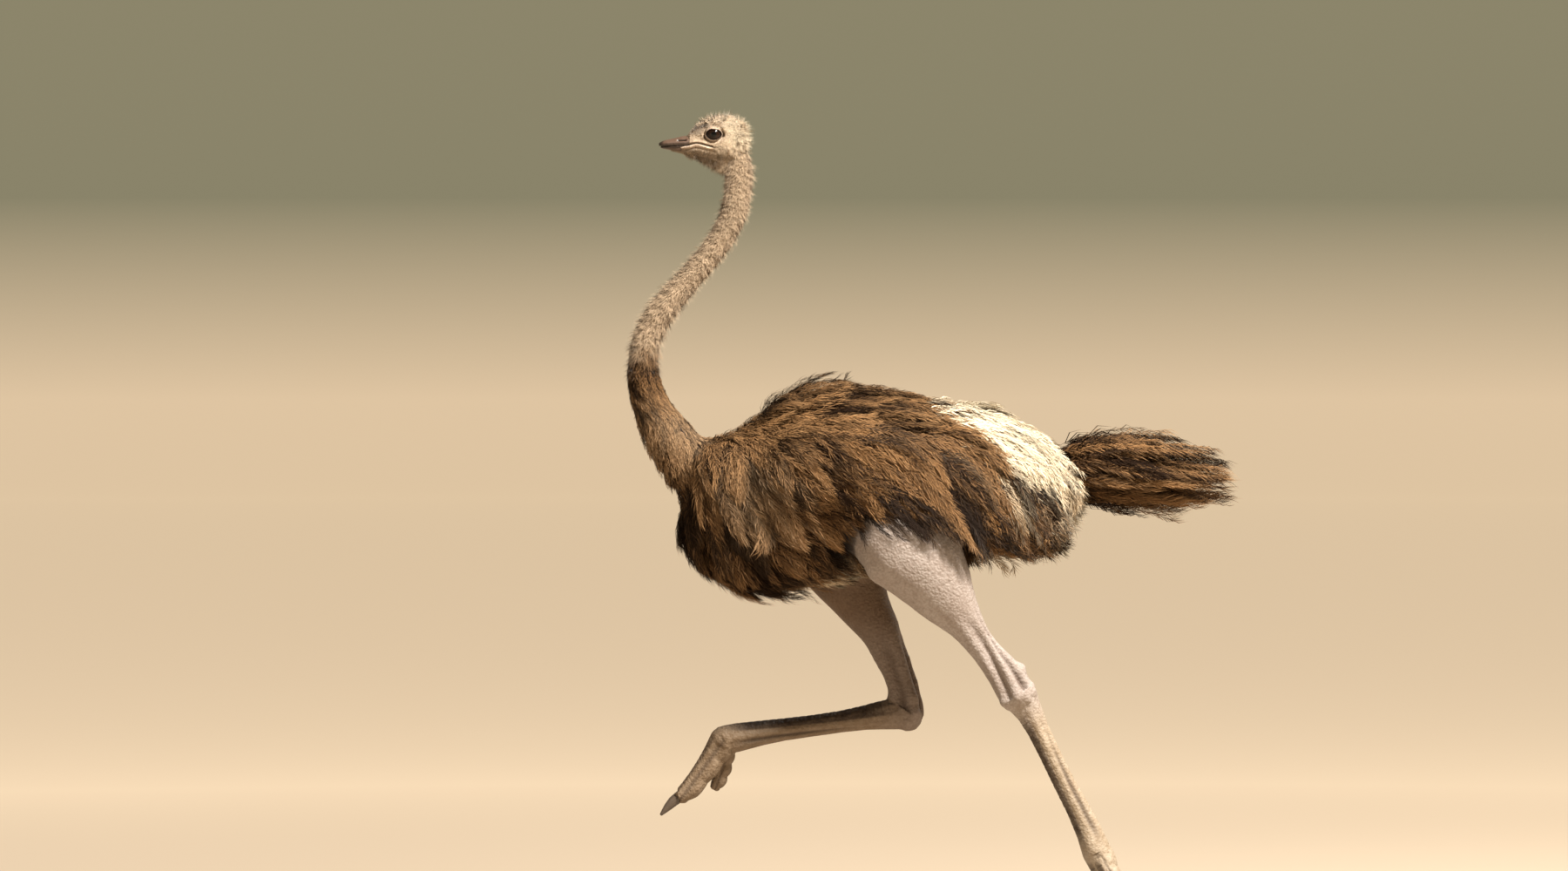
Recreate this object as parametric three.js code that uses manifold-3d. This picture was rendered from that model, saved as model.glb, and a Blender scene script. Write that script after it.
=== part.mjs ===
// A hen ostrich at a run, life size, as a still museum model on a flat base.
// Millimetres, +Z up. The bird faces -X and its left side is at -Y.
// The origin is the middle of the base's underside.
import * as THREE from "three";
import { mergeVertices } from "three/addons/utils/BufferGeometryUtils.js";
import Module from "manifold-3d";

const wasm = await Module();
wasm.setup();

// ---- driving dimensions ----
const GAP = 0.35; // clearance left between pieces that meet
const BASE = { length: 1000, width: 480, thickness: 30, corner: 60 };
const EYE = { x: -541, out: 21.8, z: 1861, radius: 21 };
const EAR = { x: -500, out: 29, z: 1822, radius: 9, depth: 16 };
const BILL_ROOT_X = -603; // where the horny bill ends and the feathered face begins
const NECK_CUTS = [0.36, 0.66]; // shares of the neck's stations where its lengths part
const ANKLE_RADIUS = { near: 46, far: 43 };
const KNUCKLE_RADIUS = 34; // where the toes leave the tarsus
const OUT = { knee: 150, ankle: 112, foot: 84 }; // how far the legs stand off the midplane

// ---- materials ----
const paint = (color, roughness) => new THREE.MeshStandardMaterial({ color, roughness, metalness: 0 });
const MATERIALS = {
  feather: paint(0x5f4c3c, 0.9),
  plume: paint(0x8f8172, 0.9),
  tail: paint(0x4d3c2e, 0.9),
  down: paint(0xa3978a, 0.95),
  skin: paint(0xb3a89f, 0.7),
  scale: paint(0x9c907f, 0.6),
  horn: paint(0x7b695c, 0.45),
  claw: paint(0x453b33, 0.4),
  eye: paint(0x1b120c, 0.08),
  stand: paint(0xd9d5cc, 0.6),
};

// ---- solids: joining and cutting ----
const ACROSS = new THREE.Vector3(0, 1, 0);

// A closed geometry as a solid with its faces pointing out.
function solid(geometry) {
  const bare = geometry.clone();
  bare.deleteAttribute("normal");
  bare.deleteAttribute("uv");
  const merged = mergeVertices(bare, 1e-3);
  const vertProperties = merged.attributes.position.array;
  const triVerts = new Uint32Array(merged.index.array);
  const made = new wasm.Manifold(new wasm.Mesh({ numProp: 3, vertProperties, triVerts }));
  if (made.volume() > 0) return made;
  for (let i = 0; i < triVerts.length; i += 3) {
    [triVerts[i + 1], triVerts[i + 2]] = [triVerts[i + 2], triVerts[i + 1]];
  }
  return new wasm.Manifold(new wasm.Mesh({ numProp: 3, vertProperties, triVerts }));
}

const largest = (shape) => shape.decompose().sort((a, b) => b.volume() - a.volume())[0];
const cut = (shape, ...tools) => largest(tools.reduce((a, b) => a.subtract(b), shape));
const ball = (x, y, z, radius) => solid(new THREE.SphereGeometry(radius, 12, 8).translate(x, y, z));

// The side of a plane through a point that the normal points to, less half the gap.
function beyond(shape, point, normal) {
  const n = normal.clone().normalize();
  return shape.trimByPlane([n.x, n.y, n.z], n.dot(point) + GAP / 2);
}

const group = new THREE.Group();
function add(name, shape, material) {
  const { vertProperties, triVerts } = shape.getMesh();
  const geometry = new THREE.BufferGeometry();
  geometry.setAttribute("position", new THREE.BufferAttribute(new Float32Array(vertProperties), 3));
  geometry.setIndex(new THREE.BufferAttribute(new Uint32Array(triVerts), 1));
  geometry.computeVertexNormals();
  const mesh = new THREE.Mesh(geometry, material);
  mesh.name = name;
  group.add(mesh);
}

// ---- lofts: closed bodies of rings along a smooth spine ----
// A station is [x, y, z, back, front, half]: a point of the spine, how far the section reaches
// from it to the back or top and to the front or belly, and its half width across the bird.
function loft(stations, { rings = 16, sides = 16, grow = 0, from = 0, to = 1, power = 2 } = {}) {
  const spine = new THREE.CatmullRomCurve3(stations.map((s) => new THREE.Vector3(s[0], s[1], s[2])));
  const reach = new THREE.CatmullRomCurve3(stations.map((s) => new THREE.Vector3(s[3], s[4], s[5])));
  const rounded = (v) => Math.sign(v) * Math.abs(v) ** (2 / power);
  const positions = [];
  const indices = [];
  for (let i = 0; i <= rings; i++) {
    const t = from + ((to - from) * i) / rings;
    const point = spine.getPoint(t);
    const [back, front, half] = reach.getPoint(t).toArray();
    const ahead = spine.getTangent(t).setY(0).normalize();
    const dorsal = new THREE.Vector3().crossVectors(ahead, ACROSS);
    if (i === 0) point.addScaledVector(ahead, -grow);
    if (i === rings) point.addScaledVector(ahead, grow);
    for (let k = 0; k < sides; k++) {
      const angle = (2 * Math.PI * k) / sides;
      const rise = rounded(Math.sin(angle));
      const height = Math.max(0.5, rise > 0 ? back : front) + grow;
      const width = Math.max(0.5, half) + grow;
      const p = point.clone().addScaledVector(dorsal, rise * height);
      p.addScaledVector(ACROSS, rounded(Math.cos(angle)) * width);
      positions.push(p.x, p.y, p.z);
    }
  }
  for (let i = 0; i < rings; i++) {
    for (let k = 0; k < sides; k++) {
      const a = i * sides + k;
      const b = i * sides + ((k + 1) % sides);
      indices.push(a, b, a + sides, b, b + sides, a + sides);
    }
  }
  for (let k = 1; k < sides - 1; k++) {
    const last = rings * sides;
    indices.push(0, k + 1, k, last, last + k, last + k + 1);
  }
  const geometry = new THREE.BufferGeometry();
  geometry.setAttribute("position", new THREE.Float32BufferAttribute(positions, 3));
  geometry.setIndex(indices);
  return solid(geometry);
}

const mirrored = (stations, sign) => stations.map(([x, y, z, ...reach]) => [x, sign * y, z, ...reach]);

// ---- trunk: breast to rump, out to the tips of its feathers ----
const TRUNK = [
  [-630, 0, 1006, 26, 30, 26],
  [-610, 0, 1004, 84, 98, 86],
  [-560, 0, 1008, 146, 186, 144],
  [-480, 0, 1030, 172, 246, 180],
  [-380, 0, 1052, 220, 260, 200],
  [-260, 0, 1066, 236, 248, 204],
  [-120, 0, 1072, 228, 230, 198],
  [20, 0, 1072, 198, 206, 180],
  [150, 0, 1074, 150, 190, 144],
  [230, 0, 1078, 104, 140, 98],
  [280, 0, 1080, 68, 86, 60],
  [300, 0, 1082, 34, 38, 28],
];
const trunkLoft = (grow) => loft(TRUNK, { rings: 22, sides: 22, grow });
const aroundTrunk = trunkLoft(GAP);

// ---- neck: one S-curve from the nape into the breast ----
const NECK = [
  [-498, 0, 1836, 24, 24, 24],
  [-485, 0, 1785, 34, 33, 31],
  [-484, 0, 1735, 32, 31, 29],
  [-502, 0, 1662, 30, 30, 28],
  [-545, 0, 1592, 27, 27, 27],
  [-600, 0, 1528, 28, 28, 28],
  [-652, 0, 1468, 30, 30, 29],
  [-692, 0, 1400, 31, 31, 30],
  [-704, 0, 1330, 33, 33, 32],
  [-694, 0, 1262, 38, 38, 36],
  [-668, 0, 1204, 46, 46, 44],
  [-628, 0, 1148, 56, 57, 55],
  [-578, 0, 1092, 82, 84, 86],
  [-520, 0, 1040, 104, 112, 118],
];

// ---- head: face and crown, with the bill's two halves in front ----
const HEAD = [
  [-640, 0, 1834, 13, 10, 20],
  [-606, 0, 1836, 24, 27, 24],
  [-585, 0, 1840, 40, 36, 30],
  [-560, 0, 1843, 51, 52, 35],
  [-535, 0, 1846, 59, 64, 38],
  [-508, 0, 1844, 61, 68, 37],
  [-486, 0, 1834, 50, 60, 32],
  [-472, 0, 1826, 32, 40, 23],
  [-466, 0, 1822, 14, 16, 10],
];
const UPPER_BILL = [
  [-667, 0, 1837.5, 1.5, 1.5, 6],
  [-661, 0, 1838, 6, 3, 14],
  [-648, 0, 1839, 9, 3, 18],
  [-625, 0, 1840.5, 12, 3, 20.5],
  [-590, 0, 1843, 20, 3, 24],
];
const LOWER_BILL = [
  [-663, 0, 1831.5, 1.2, 1.5, 6],
  [-657, 0, 1831.5, 1.7, 3.5, 13],
  [-640, 0, 1832.5, 2, 8, 17],
  [-618, 0, 1834, 2.2, 15, 20],
  [-590, 0, 1836, 2.5, 23, 23],
];
const headLoft = (grow) => loft(HEAD, { rings: 10, sides: 16, grow });

function eyeball(sign, grow) {
  return ball(EYE.x, sign * EYE.out, EYE.z, EYE.radius + grow);
}

function earPad(sign, grow) {
  const disc = new THREE.CylinderGeometry(EAR.radius + grow, EAR.radius + grow, EAR.depth, 10);
  return solid(disc.translate(EAR.x, sign * EAR.out, EAR.z));
}

function makeHead() {
  const billRoot = new THREE.Vector3(BILL_ROOT_X, 0, EYE.z);
  const aft = new THREE.Vector3(1, 0, 0);
  let head = beyond(headLoft(0), billRoot, aft);
  for (const [name, sign] of [["left", -1], ["right", 1]]) {
    head = cut(head, eyeball(sign, GAP), earPad(sign, GAP));
    add("eye_" + name, eyeball(sign, 0), MATERIALS.eye);
    add("ear_" + name, earPad(sign, 0), MATERIALS.skin);
  }
  add("head", head, MATERIALS.down);
  for (const [name, stations] of [["bill_upper", UPPER_BILL], ["bill_lower", LOWER_BILL]]) {
    add(name, beyond(loft(stations, { rings: 6, sides: 12 }), billRoot, aft.clone().negate()), MATERIALS.horn);
  }
}

function makeNeck() {
  const [upperCut, lowerCut] = NECK_CUTS;
  const part = GAP / 1150; // the gap as a share of the neck's length
  const length = (from, to) => loft(NECK, { rings: 8, sides: 12, from, to });
  add("neck_upper", cut(length(0, upperCut - part), headLoft(GAP)), MATERIALS.down);
  add("neck_middle", length(upperCut + part, lowerCut - part), MATERIALS.down);
  add("neck_lower", cut(length(lowerCut + part, 1), aroundTrunk), MATERIALS.feather);
}

// ---- legs: the near one pushes off behind, the far one is folded forwards ----
// Each leg is drawn on the bird's right, with y as its distance from the midplane.
const LEGS = {
  left: {
    sign: -1,
    thigh: [
      [10, 110, 1085, 80, 80, 60],
      [-60, 132, 1050, 112, 112, 84],
      [-125, 146, 1000, 116, 104, 84],
      [-165, OUT.knee, 962, 96, 84, 72],
    ],
    shank: [
      [-160, OUT.knee, 990, 70, 62, 56],
      [-148, OUT.knee, 970, 100, 90, 72],
      [-105, OUT.knee, 925, 118, 116, 80],
      [-58, 148, 877, 103, 103, 78],
      [-25, 144, 826, 82, 82, 67],
      [-3, 140, 792, 67, 67, 58],
      [24, 134, 757, 50, 50, 46],
      [45, 130, 729, 40, 40, 38],
      [63, 127, 702, 35, 35, 32],
      [87, 122, 673, 35, 35, 30],
      [118, 117, 636, 40, 40, 34],
      [152, OUT.ankle, 583, 46, 46, 40],
    ],
    tarsus: [
      [152, OUT.ankle, 583, 44, 44, 38],
      [174, 110, 552, 36, 36, 32],
      [194, 107, 514, 27, 27, 24],
      [228, 102, 445, 25, 25, 20],
      [272, 95, 356, 26, 26, 21],
      [312, 88, 281, 30, 30, 27],
      [335, OUT.foot, 218, 36, 34, 34],
    ],
    mainToe: [
      [335, OUT.foot, 218, 36, 34, 30],
      [352, 83, 185, 34, 32, 26],
      [372, 82, 143, 30, 26, 24],
      [391, 82, 101, 28, 24, 24],
      [405, 81, 68, 24, 21, 21],
      [412, 81, 50, 15, 15, 16],
    ],
    mainClaw: [
      [402, 81, 78, 12, 15, 13],
      [410, 81, 60, 12, 14, 12],
      [417, 81, 44, 8, 9, 8],
      [421, 81, 31.8, 3, 3, 4],
    ],
    sideToe: [
      [343, 98, 212, 20, 20, 16],
      [362, 112, 178, 20, 18, 16],
      [382, 121, 142, 18, 16, 15],
      [394, 126, 118, 11, 10, 10],
    ],
  },
  right: {
    sign: 1,
    thigh: [
      [-60, 110, 1080, 80, 80, 60],
      [-140, 132, 1050, 112, 104, 84],
      [-225, 146, 1008, 112, 96, 84],
      [-285, OUT.knee, 962, 92, 78, 70],
    ],
    shank: [
      [-300, OUT.knee, 950, 62, 56, 52],
      [-292, OUT.knee, 935, 88, 80, 66],
      [-265, OUT.knee, 890, 96, 92, 74],
      [-225, 147, 830, 82, 82, 68],
      [-201, 143, 784, 65, 65, 57],
      [-160, 134, 721, 48, 48, 44],
      [-134, 127, 660, 40, 40, 36],
      [-108, 118, 602, 36, 36, 32],
      [-97, OUT.ankle, 528, 42, 42, 38],
    ],
    tarsus: [
      [-97, OUT.ankle, 528, 40, 42, 38],
      [-165, 106, 521, 33, 33, 29],
      [-204, 103, 515, 28, 28, 24],
      [-279, 98, 503, 25, 25, 20],
      [-364, 93, 492, 26, 26, 21],
      [-414, 90, 485, 28, 28, 25],
      [-482, 86, 473, 34, 34, 31],
      [-518, OUT.foot, 466, 35, 35, 34],
    ],
    mainToe: [
      [-518, OUT.foot, 466, 35, 35, 30],
      [-541, 83, 430, 30, 29, 26],
      [-564, 82, 396, 27, 26, 24],
      [-590, 82, 362, 26, 24, 24],
      [-614, 81, 339, 21, 20, 21],
      [-628, 81, 328, 14, 14, 16],
    ],
    mainClaw: [
      [-612, 81, 340, 12, 15, 13],
      [-632, 81, 326, 11, 14, 12],
      [-650, 81, 309, 8, 9, 8],
      [-664, 81, 293, 2, 3, 4],
    ],
    sideToe: [
      [-512, 98, 440, 20, 18, 16],
      [-520, 112, 404, 20, 18, 16],
      [-532, 121, 370, 18, 16, 15],
      [-542, 126, 350, 11, 10, 10],
    ],
  },
};

const pointOf = ([x, y, z]) => new THREE.Vector3(x, y, z);
const heading = (a, b) => pointOf(b).sub(pointOf(a)).normalize();

// The plane that halves the bend between the end of one chain of stations and the next chain.
function bendPlane(before, after) {
  const arriving = heading(before.at(-2), before.at(-1));
  const leaving = heading(after[0], after[1]);
  return { point: pointOf(after[0]), normal: arriving.add(leaving) };
}

function makeLeg(name, leg, ankleRadius) {
  const chain = (stations) => mirrored(stations, leg.sign);
  const [thigh, shank, tarsus] = [leg.thigh, leg.shank, leg.tarsus].map(chain);
  const [mainToe, mainClaw, sideToe] = [leg.mainToe, leg.mainClaw, leg.sideToe].map(chain);
  const ankle = bendPlane(shank, tarsus);
  const knuckle = bendPlane(tarsus, mainToe);
  const knob = (joint, radius) => ball(joint.point.x, joint.point.y, joint.point.z, radius);
  const before = (shape, joint) => beyond(shape, joint.point, joint.normal.clone().negate());
  const after = (shape, joint) => beyond(shape, joint.point, joint.normal);

  const shankWith = (grow) => loft(shank, { rings: 11, sides: 12, grow }).add(knob(ankle, ankleRadius + grow));
  const shankBody = before(shankWith(0), ankle);
  add("shank_" + name, cut(shankBody, aroundTrunk), MATERIALS.skin);
  const thighBody = loft(thigh, { rings: 5, sides: 12 });
  add("thigh_" + name, cut(thighBody, aroundTrunk, shankWith(GAP)), MATERIALS.skin);

  const tarsusBody = loft(tarsus, { rings: 8, sides: 10 }).add(knob(ankle, ankleRadius));
  const tarsusWhole = before(after(tarsusBody.add(knob(knuckle, KNUCKLE_RADIUS)), ankle), knuckle);
  add("tarsus_" + name, largest(tarsusWhole), MATERIALS.scale);

  const clawWith = (grow) => loft(mainClaw, { rings: 5, sides: 8, grow });
  const toeWith = (grow) => loft(mainToe, { rings: 6, sides: 10, grow }).add(knob(knuckle, KNUCKLE_RADIUS + grow));
  add("toe_main_" + name, cut(after(toeWith(0), knuckle), clawWith(GAP)), MATERIALS.scale);
  add("claw_main_" + name, clawWith(0), MATERIALS.claw);
  const tarsusAround = loft(tarsus, { rings: 8, sides: 10, grow: GAP });
  const sideToeBody = loft(sideToe, { rings: 5, sides: 10 });
  add("toe_side_" + name, cut(sideToeBody, toeWith(GAP), tarsusAround), MATERIALS.scale);
  return { thigh: loft(thigh, { rings: 5, sides: 12, grow: GAP }), shank: shankWith(GAP) };
}

// ---- wings: folded, with long plumes that hang past the flank ----
const PLUMAGE = [
  [-470, 0, 1072, 120, 60, 190],
  [-390, 0, 1072, 176, 90, 226],
  [-280, 0, 1072, 200, 110, 238],
  [-150, 0, 1072, 200, 130, 242],
  [-20, 0, 1072, 184, 165, 236],
  [90, 0, 1072, 158, 194, 210],
  [170, 0, 1072, 128, 202, 174],
  [230, 0, 1072, 98, 196, 136],
  [272, 0, 1072, 64, 160, 98],
  [296, 0, 1072, 24, 118, 60],
];
const WING_EDGE = [
  [-440, 1160], [-330, 1235], [-150, 1255], [60, 1232], [200, 1165], [276, 1080],
  [290, 980], [268, 905], [212, 874], [120, 880], [30, 905], [-40, 952],
  [-110, 952], [-180, 982], [-300, 1000], [-400, 1020], [-456, 1085],
];

function makeWing(name, sign, leg) {
  const outline = new THREE.Shape();
  outline.moveTo(...WING_EDGE[0]);
  outline.splineThru([...WING_EDGE.slice(1), WING_EDGE[0]].map(([x, z]) => new THREE.Vector2(x, z)));
  const [inner, outer] = [30, 300];
  const slab = new THREE.ExtrudeGeometry(outline, { depth: outer - inner, curveSegments: 2, bevelEnabled: false });
  slab.rotateX(Math.PI / 2).translate(0, sign > 0 ? outer : -inner, 0);
  const hull = loft(PLUMAGE, { rings: 12, sides: 18, power: 2.6 });
  const wing = solid(slab).intersect(hull);
  add("wing_" + name, cut(wing, aroundTrunk, leg.thigh, leg.shank), MATERIALS.plume);
}

// ---- tail: a drooping fan of plumes ----
const TAIL = [
  [262, 0, 1082, 60, 62, 52],
  [300, 0, 1082, 68, 72, 72],
  [380, 0, 1088, 88, 94, 104],
  [460, 0, 1084, 94, 98, 116],
  [522, 0, 1072, 90, 88, 108],
  [570, 0, 1064, 74, 66, 86],
  [620, 0, 1060, 46, 48, 56],
  [656, 0, 1064, 22, 20, 26],
  [670, 0, 1067, 4, 4, 5],
];

function makeTail() {
  const plumage = loft(PLUMAGE, { rings: 12, sides: 18, power: 2.6, grow: GAP });
  add("tail", cut(loft(TAIL, { rings: 10, sides: 14 }), aroundTrunk, plumage), MATERIALS.tail);
}

// ---- base: a flat plate with round corners ----
function makeBase() {
  const [x, y, r] = [BASE.length / 2, BASE.width / 2, BASE.corner];
  const plate = new THREE.Shape();
  plate.absarc(x - r, y - r, r, 0, Math.PI / 2);
  plate.absarc(-x + r, y - r, r, Math.PI / 2, Math.PI);
  plate.absarc(-x + r, -y + r, r, Math.PI, 1.5 * Math.PI);
  plate.absarc(x - r, -y + r, r, 1.5 * Math.PI, 2 * Math.PI);
  const block = new THREE.ExtrudeGeometry(plate, { depth: BASE.thickness, curveSegments: 5, bevelEnabled: false });
  add("stand_base", solid(block), MATERIALS.stand);
}

makeBase();
add("trunk", trunkLoft(0), MATERIALS.feather);
makeHead();
makeNeck();
const nearLeg = makeLeg("left", LEGS.left, ANKLE_RADIUS.near);
const farLeg = makeLeg("right", LEGS.right, ANKLE_RADIUS.far);
makeWing("left", LEGS.left.sign, nearLeg);
makeWing("right", LEGS.right.sign, farLeg);
makeTail();

export default group;
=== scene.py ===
"""Looks of a life-size running hen ostrich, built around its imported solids."""

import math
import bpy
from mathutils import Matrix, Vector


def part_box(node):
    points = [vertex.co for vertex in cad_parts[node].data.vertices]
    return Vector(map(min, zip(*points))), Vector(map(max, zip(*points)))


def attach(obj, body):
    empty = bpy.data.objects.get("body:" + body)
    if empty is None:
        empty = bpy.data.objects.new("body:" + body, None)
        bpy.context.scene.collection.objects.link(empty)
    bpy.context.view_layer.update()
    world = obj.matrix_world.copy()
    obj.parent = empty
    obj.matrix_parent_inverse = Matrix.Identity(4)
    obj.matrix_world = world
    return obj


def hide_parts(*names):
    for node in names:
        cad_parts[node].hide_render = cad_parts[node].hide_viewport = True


bl_info = {
    "name": "Running Ostrich",
    "version": (1, 0, 0),
    "blender": (4, 5, 0),
    "location": "View3D > Sidebar > Ostrich",
    "description": "Skin, plumage, bill, eyes, claws and stage of a life-size running ostrich",
    "category": "Object",
}

import bmesh
import bpy
import numpy as np
from mathutils import Vector
from mathutils.bvhtree import BVHTree

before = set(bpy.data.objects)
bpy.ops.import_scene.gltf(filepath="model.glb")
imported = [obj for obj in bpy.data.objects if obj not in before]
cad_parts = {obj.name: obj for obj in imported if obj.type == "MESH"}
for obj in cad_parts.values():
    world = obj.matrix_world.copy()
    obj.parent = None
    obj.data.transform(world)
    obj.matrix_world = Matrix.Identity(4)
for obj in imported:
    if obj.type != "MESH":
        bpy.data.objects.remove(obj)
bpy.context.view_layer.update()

SIDES = {"left": -1.0, "right": 1.0}
COAT_DEPTH = {
    "trunk": 0.040, "wing": 0.026, "neck_lower": 0.014, "neck_middle": 0.007,
    "neck_upper": 0.005, "head": 0.004, "thigh": 0.004,
}
DEEPEST = 0.04
BARE = ("shank", "tarsus", "toe_main", "toe_side")
BROAD = ("trunk", "wing", "thigh", "shank", "neck_lower", "neck_middle")  # parts of large, round forms
FLESH = ["trunk", "head", "neck_upper", "neck_middle", "neck_lower"] + [
    f"{part}_{side}" for side in SIDES for part in ("wing", "thigh", "ear", *BARE)
]
EYES = [f"eye_{side}" for side in SIDES]
# the dark mark is partly painted shade under the body and partly the bird's own darker feathers
MARKS = ("pale", "grey", "dark")  # the markings that skin and coat share
FEATHER_VALUES = ("tone", "along", "fray", *MARKS)  # what each vertex of a coat piece stores


# ------------------------------------------------------------------ places read from the frame
def middle(node):
    low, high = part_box(node)
    return np.array((low + high) / 2)


def read_all(collection, field, width=1, kind=float):
    """One field of every item in a mesh's collection, as an array with a row for each."""
    values = np.zeros(len(collection) * width, kind)
    collection.foreach_get(field, values)
    return values.reshape(-1, width) if width > 1 else values


def node_points(node):
    """A CAD node's vertices as an array, in metres."""
    return read_all(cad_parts[node].data.vertices, "co", 3)


def triangle_corners(mesh):
    """The three vertices of each of a mesh's triangles."""
    mesh.calc_loop_triangles()
    return read_all(mesh.loop_triangles, "vertices", 3, np.int32)


def limb_line(node):
    """The two ends of a long node's own axis, the higher end first."""
    points = node_points(node)
    centre = points.mean(axis=0)
    axis = np.linalg.svd(points - centre, full_matrices=False)[2][0]
    reach = (points - centre) @ axis
    ends = [centre + axis * reach.min(), centre + axis * reach.max()]
    return sorted(ends, key=lambda p: -p[2])


TRUNK_LOW, TRUNK_HIGH = (np.array(c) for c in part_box("trunk"))
EYE_RADIUS = (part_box("eye_left")[1].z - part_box("eye_left")[0].z) / 2
EYE = middle("eye_right")  # the left eye is its mirror image
EAR = middle("ear_right")
BILL_ROOT_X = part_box("bill_upper")[1].x
MOUTH_Z = (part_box("bill_upper")[0].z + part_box("bill_lower")[1].z) / 2
CHIN_X = BILL_ROOT_X - 0.042  # how far forward the bristly chin reaches under the lower bill


# ------------------------------------------------------------------ small shared helpers
def unit(vectors):
    """The same directions with length 1."""
    length = np.linalg.norm(vectors, axis=-1, keepdims=True)
    return vectors / np.maximum(length, 1e-12)


def smooth_step(low, high, value):
    """0 at low, 1 at high, and an even S between; low may be the greater."""
    t = np.clip((value - low) / (high - low), 0, 1)
    return t * t * (3 - 2 * t)


def bump(value, centre, width):
    """A bell of height 1 at centre."""
    return np.exp(-(((value - centre) / width) ** 2))


def waves(points, size, seed):
    """Smooth noise from -1 to 1 with lumps about the given size."""
    rng = np.random.default_rng(seed)
    total = np.zeros(len(points))
    for _ in range(7):
        direction = unit(rng.normal(size=3)) / size * rng.uniform(0.6, 1.5)
        total += np.sin(points @ direction * 2 * math.pi + rng.uniform(0, 2 * math.pi))
    return np.clip(total / 3.2, -1, 1)


def deselect_all():
    if bpy.context.object and bpy.context.object.mode != "OBJECT":
        bpy.ops.object.mode_set(mode="OBJECT")
    bpy.ops.object.select_all(action="DESELECT")


def activate(obj):
    deselect_all()
    obj.select_set(True)
    bpy.context.view_layer.objects.active = obj


def apply_modifier(obj, kind, **settings):
    activate(obj)
    modifier = obj.modifiers.new(kind.title(), kind)
    for name, value in settings.items():
        setattr(modifier, name, value)
    bpy.ops.object.modifier_apply(modifier=modifier.name)


def mesh_object(name, points, faces):
    """A new object from an array of points and arrays of faces, one array for each face size."""
    mesh = bpy.data.meshes.new(name)
    mesh.vertices.add(len(points))
    mesh.vertices.foreach_set("co", np.asarray(points, np.float32).ravel())
    loops = np.concatenate([f.ravel() for f in faces]).astype(np.int32)
    sizes = np.concatenate([np.full(len(f), f.shape[1]) for f in faces])
    starts = np.concatenate([[0], np.cumsum(sizes)[:-1]]).astype(np.int32)
    mesh.loops.add(len(loops))
    mesh.loops.foreach_set("vertex_index", loops)
    mesh.polygons.add(len(sizes))
    mesh.polygons.foreach_set("loop_start", starts)
    mesh.update(calc_edges=True)
    mesh.validate()
    obj = bpy.data.objects.new(name, mesh)
    bpy.context.scene.collection.objects.link(obj)
    return obj


def get_points(obj):
    return read_all(obj.data.vertices, "co", 3)


def set_points(obj, points):
    obj.data.vertices.foreach_set("co", np.asarray(points, np.float32).ravel())
    obj.data.update()


def get_normals(obj):
    return read_all(obj.data.vertex_normals, "vector", 3)


def add_values(obj, name, values):
    """Stores one number for each vertex as an attribute."""
    attribute = obj.data.attributes.new(name, "FLOAT", "POINT")
    attribute.data.foreach_set("value", np.asarray(values, np.float32))


def get_edges(obj):
    return read_all(obj.data.edges, "vertices", 2, np.int32)


def neighbour_mean(edges, values):
    """The mean of each vertex's neighbours, for an array of numbers or of points."""
    count = np.maximum(np.bincount(edges.ravel(), minlength=len(values)), 1)
    columns = values.reshape(len(values), -1)
    out = np.empty_like(columns)
    for k in range(columns.shape[1]):
        column = columns[:, k]
        total = np.bincount(edges[:, 0], column[edges[:, 1]], len(values))
        total += np.bincount(edges[:, 1], column[edges[:, 0]], len(values))
        out[:, k] = total / count
    return out.reshape(values.shape)


def relax(edges, points, rounds, share=None, back=0.66):
    """Smooths points without shrinking them. share is how much each point takes part.
    The nearer back is to 0.64, the broader the lumps that it takes out."""
    if share is not None:
        edges = edges[(share[edges] > 0).any(axis=1)]
        used = np.unique(edges)
        place = np.zeros(len(points), np.int64)
        place[used] = np.arange(len(used))
        inner = relax_all(place[edges], points[used], rounds, share[used], back)
        points = points.copy()
        points[used] = inner
        return points
    return relax_all(edges, points, rounds, np.ones(len(points)), back)


def relax_all(edges, points, rounds, share, back):
    for _ in range(rounds):
        for push in (0.64, -back):
            points = points + (neighbour_mean(edges, points) - points) * (push * share)[:, None]
    return points


def finish_piece(obj, slot, *nodes, material=None, smooth=True):
    """Gives a piece its material and smooth shading, fixes it to the body and hides the solids that it
    replaces.
    """
    if material:
        obj.data.materials.clear()
        obj.data.materials.append(material)
    if smooth:
        obj.data.polygons.foreach_set("use_smooth", np.ones(len(obj.data.polygons), bool))
    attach(obj, "root")
    if nodes:
        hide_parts(*nodes)


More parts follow.
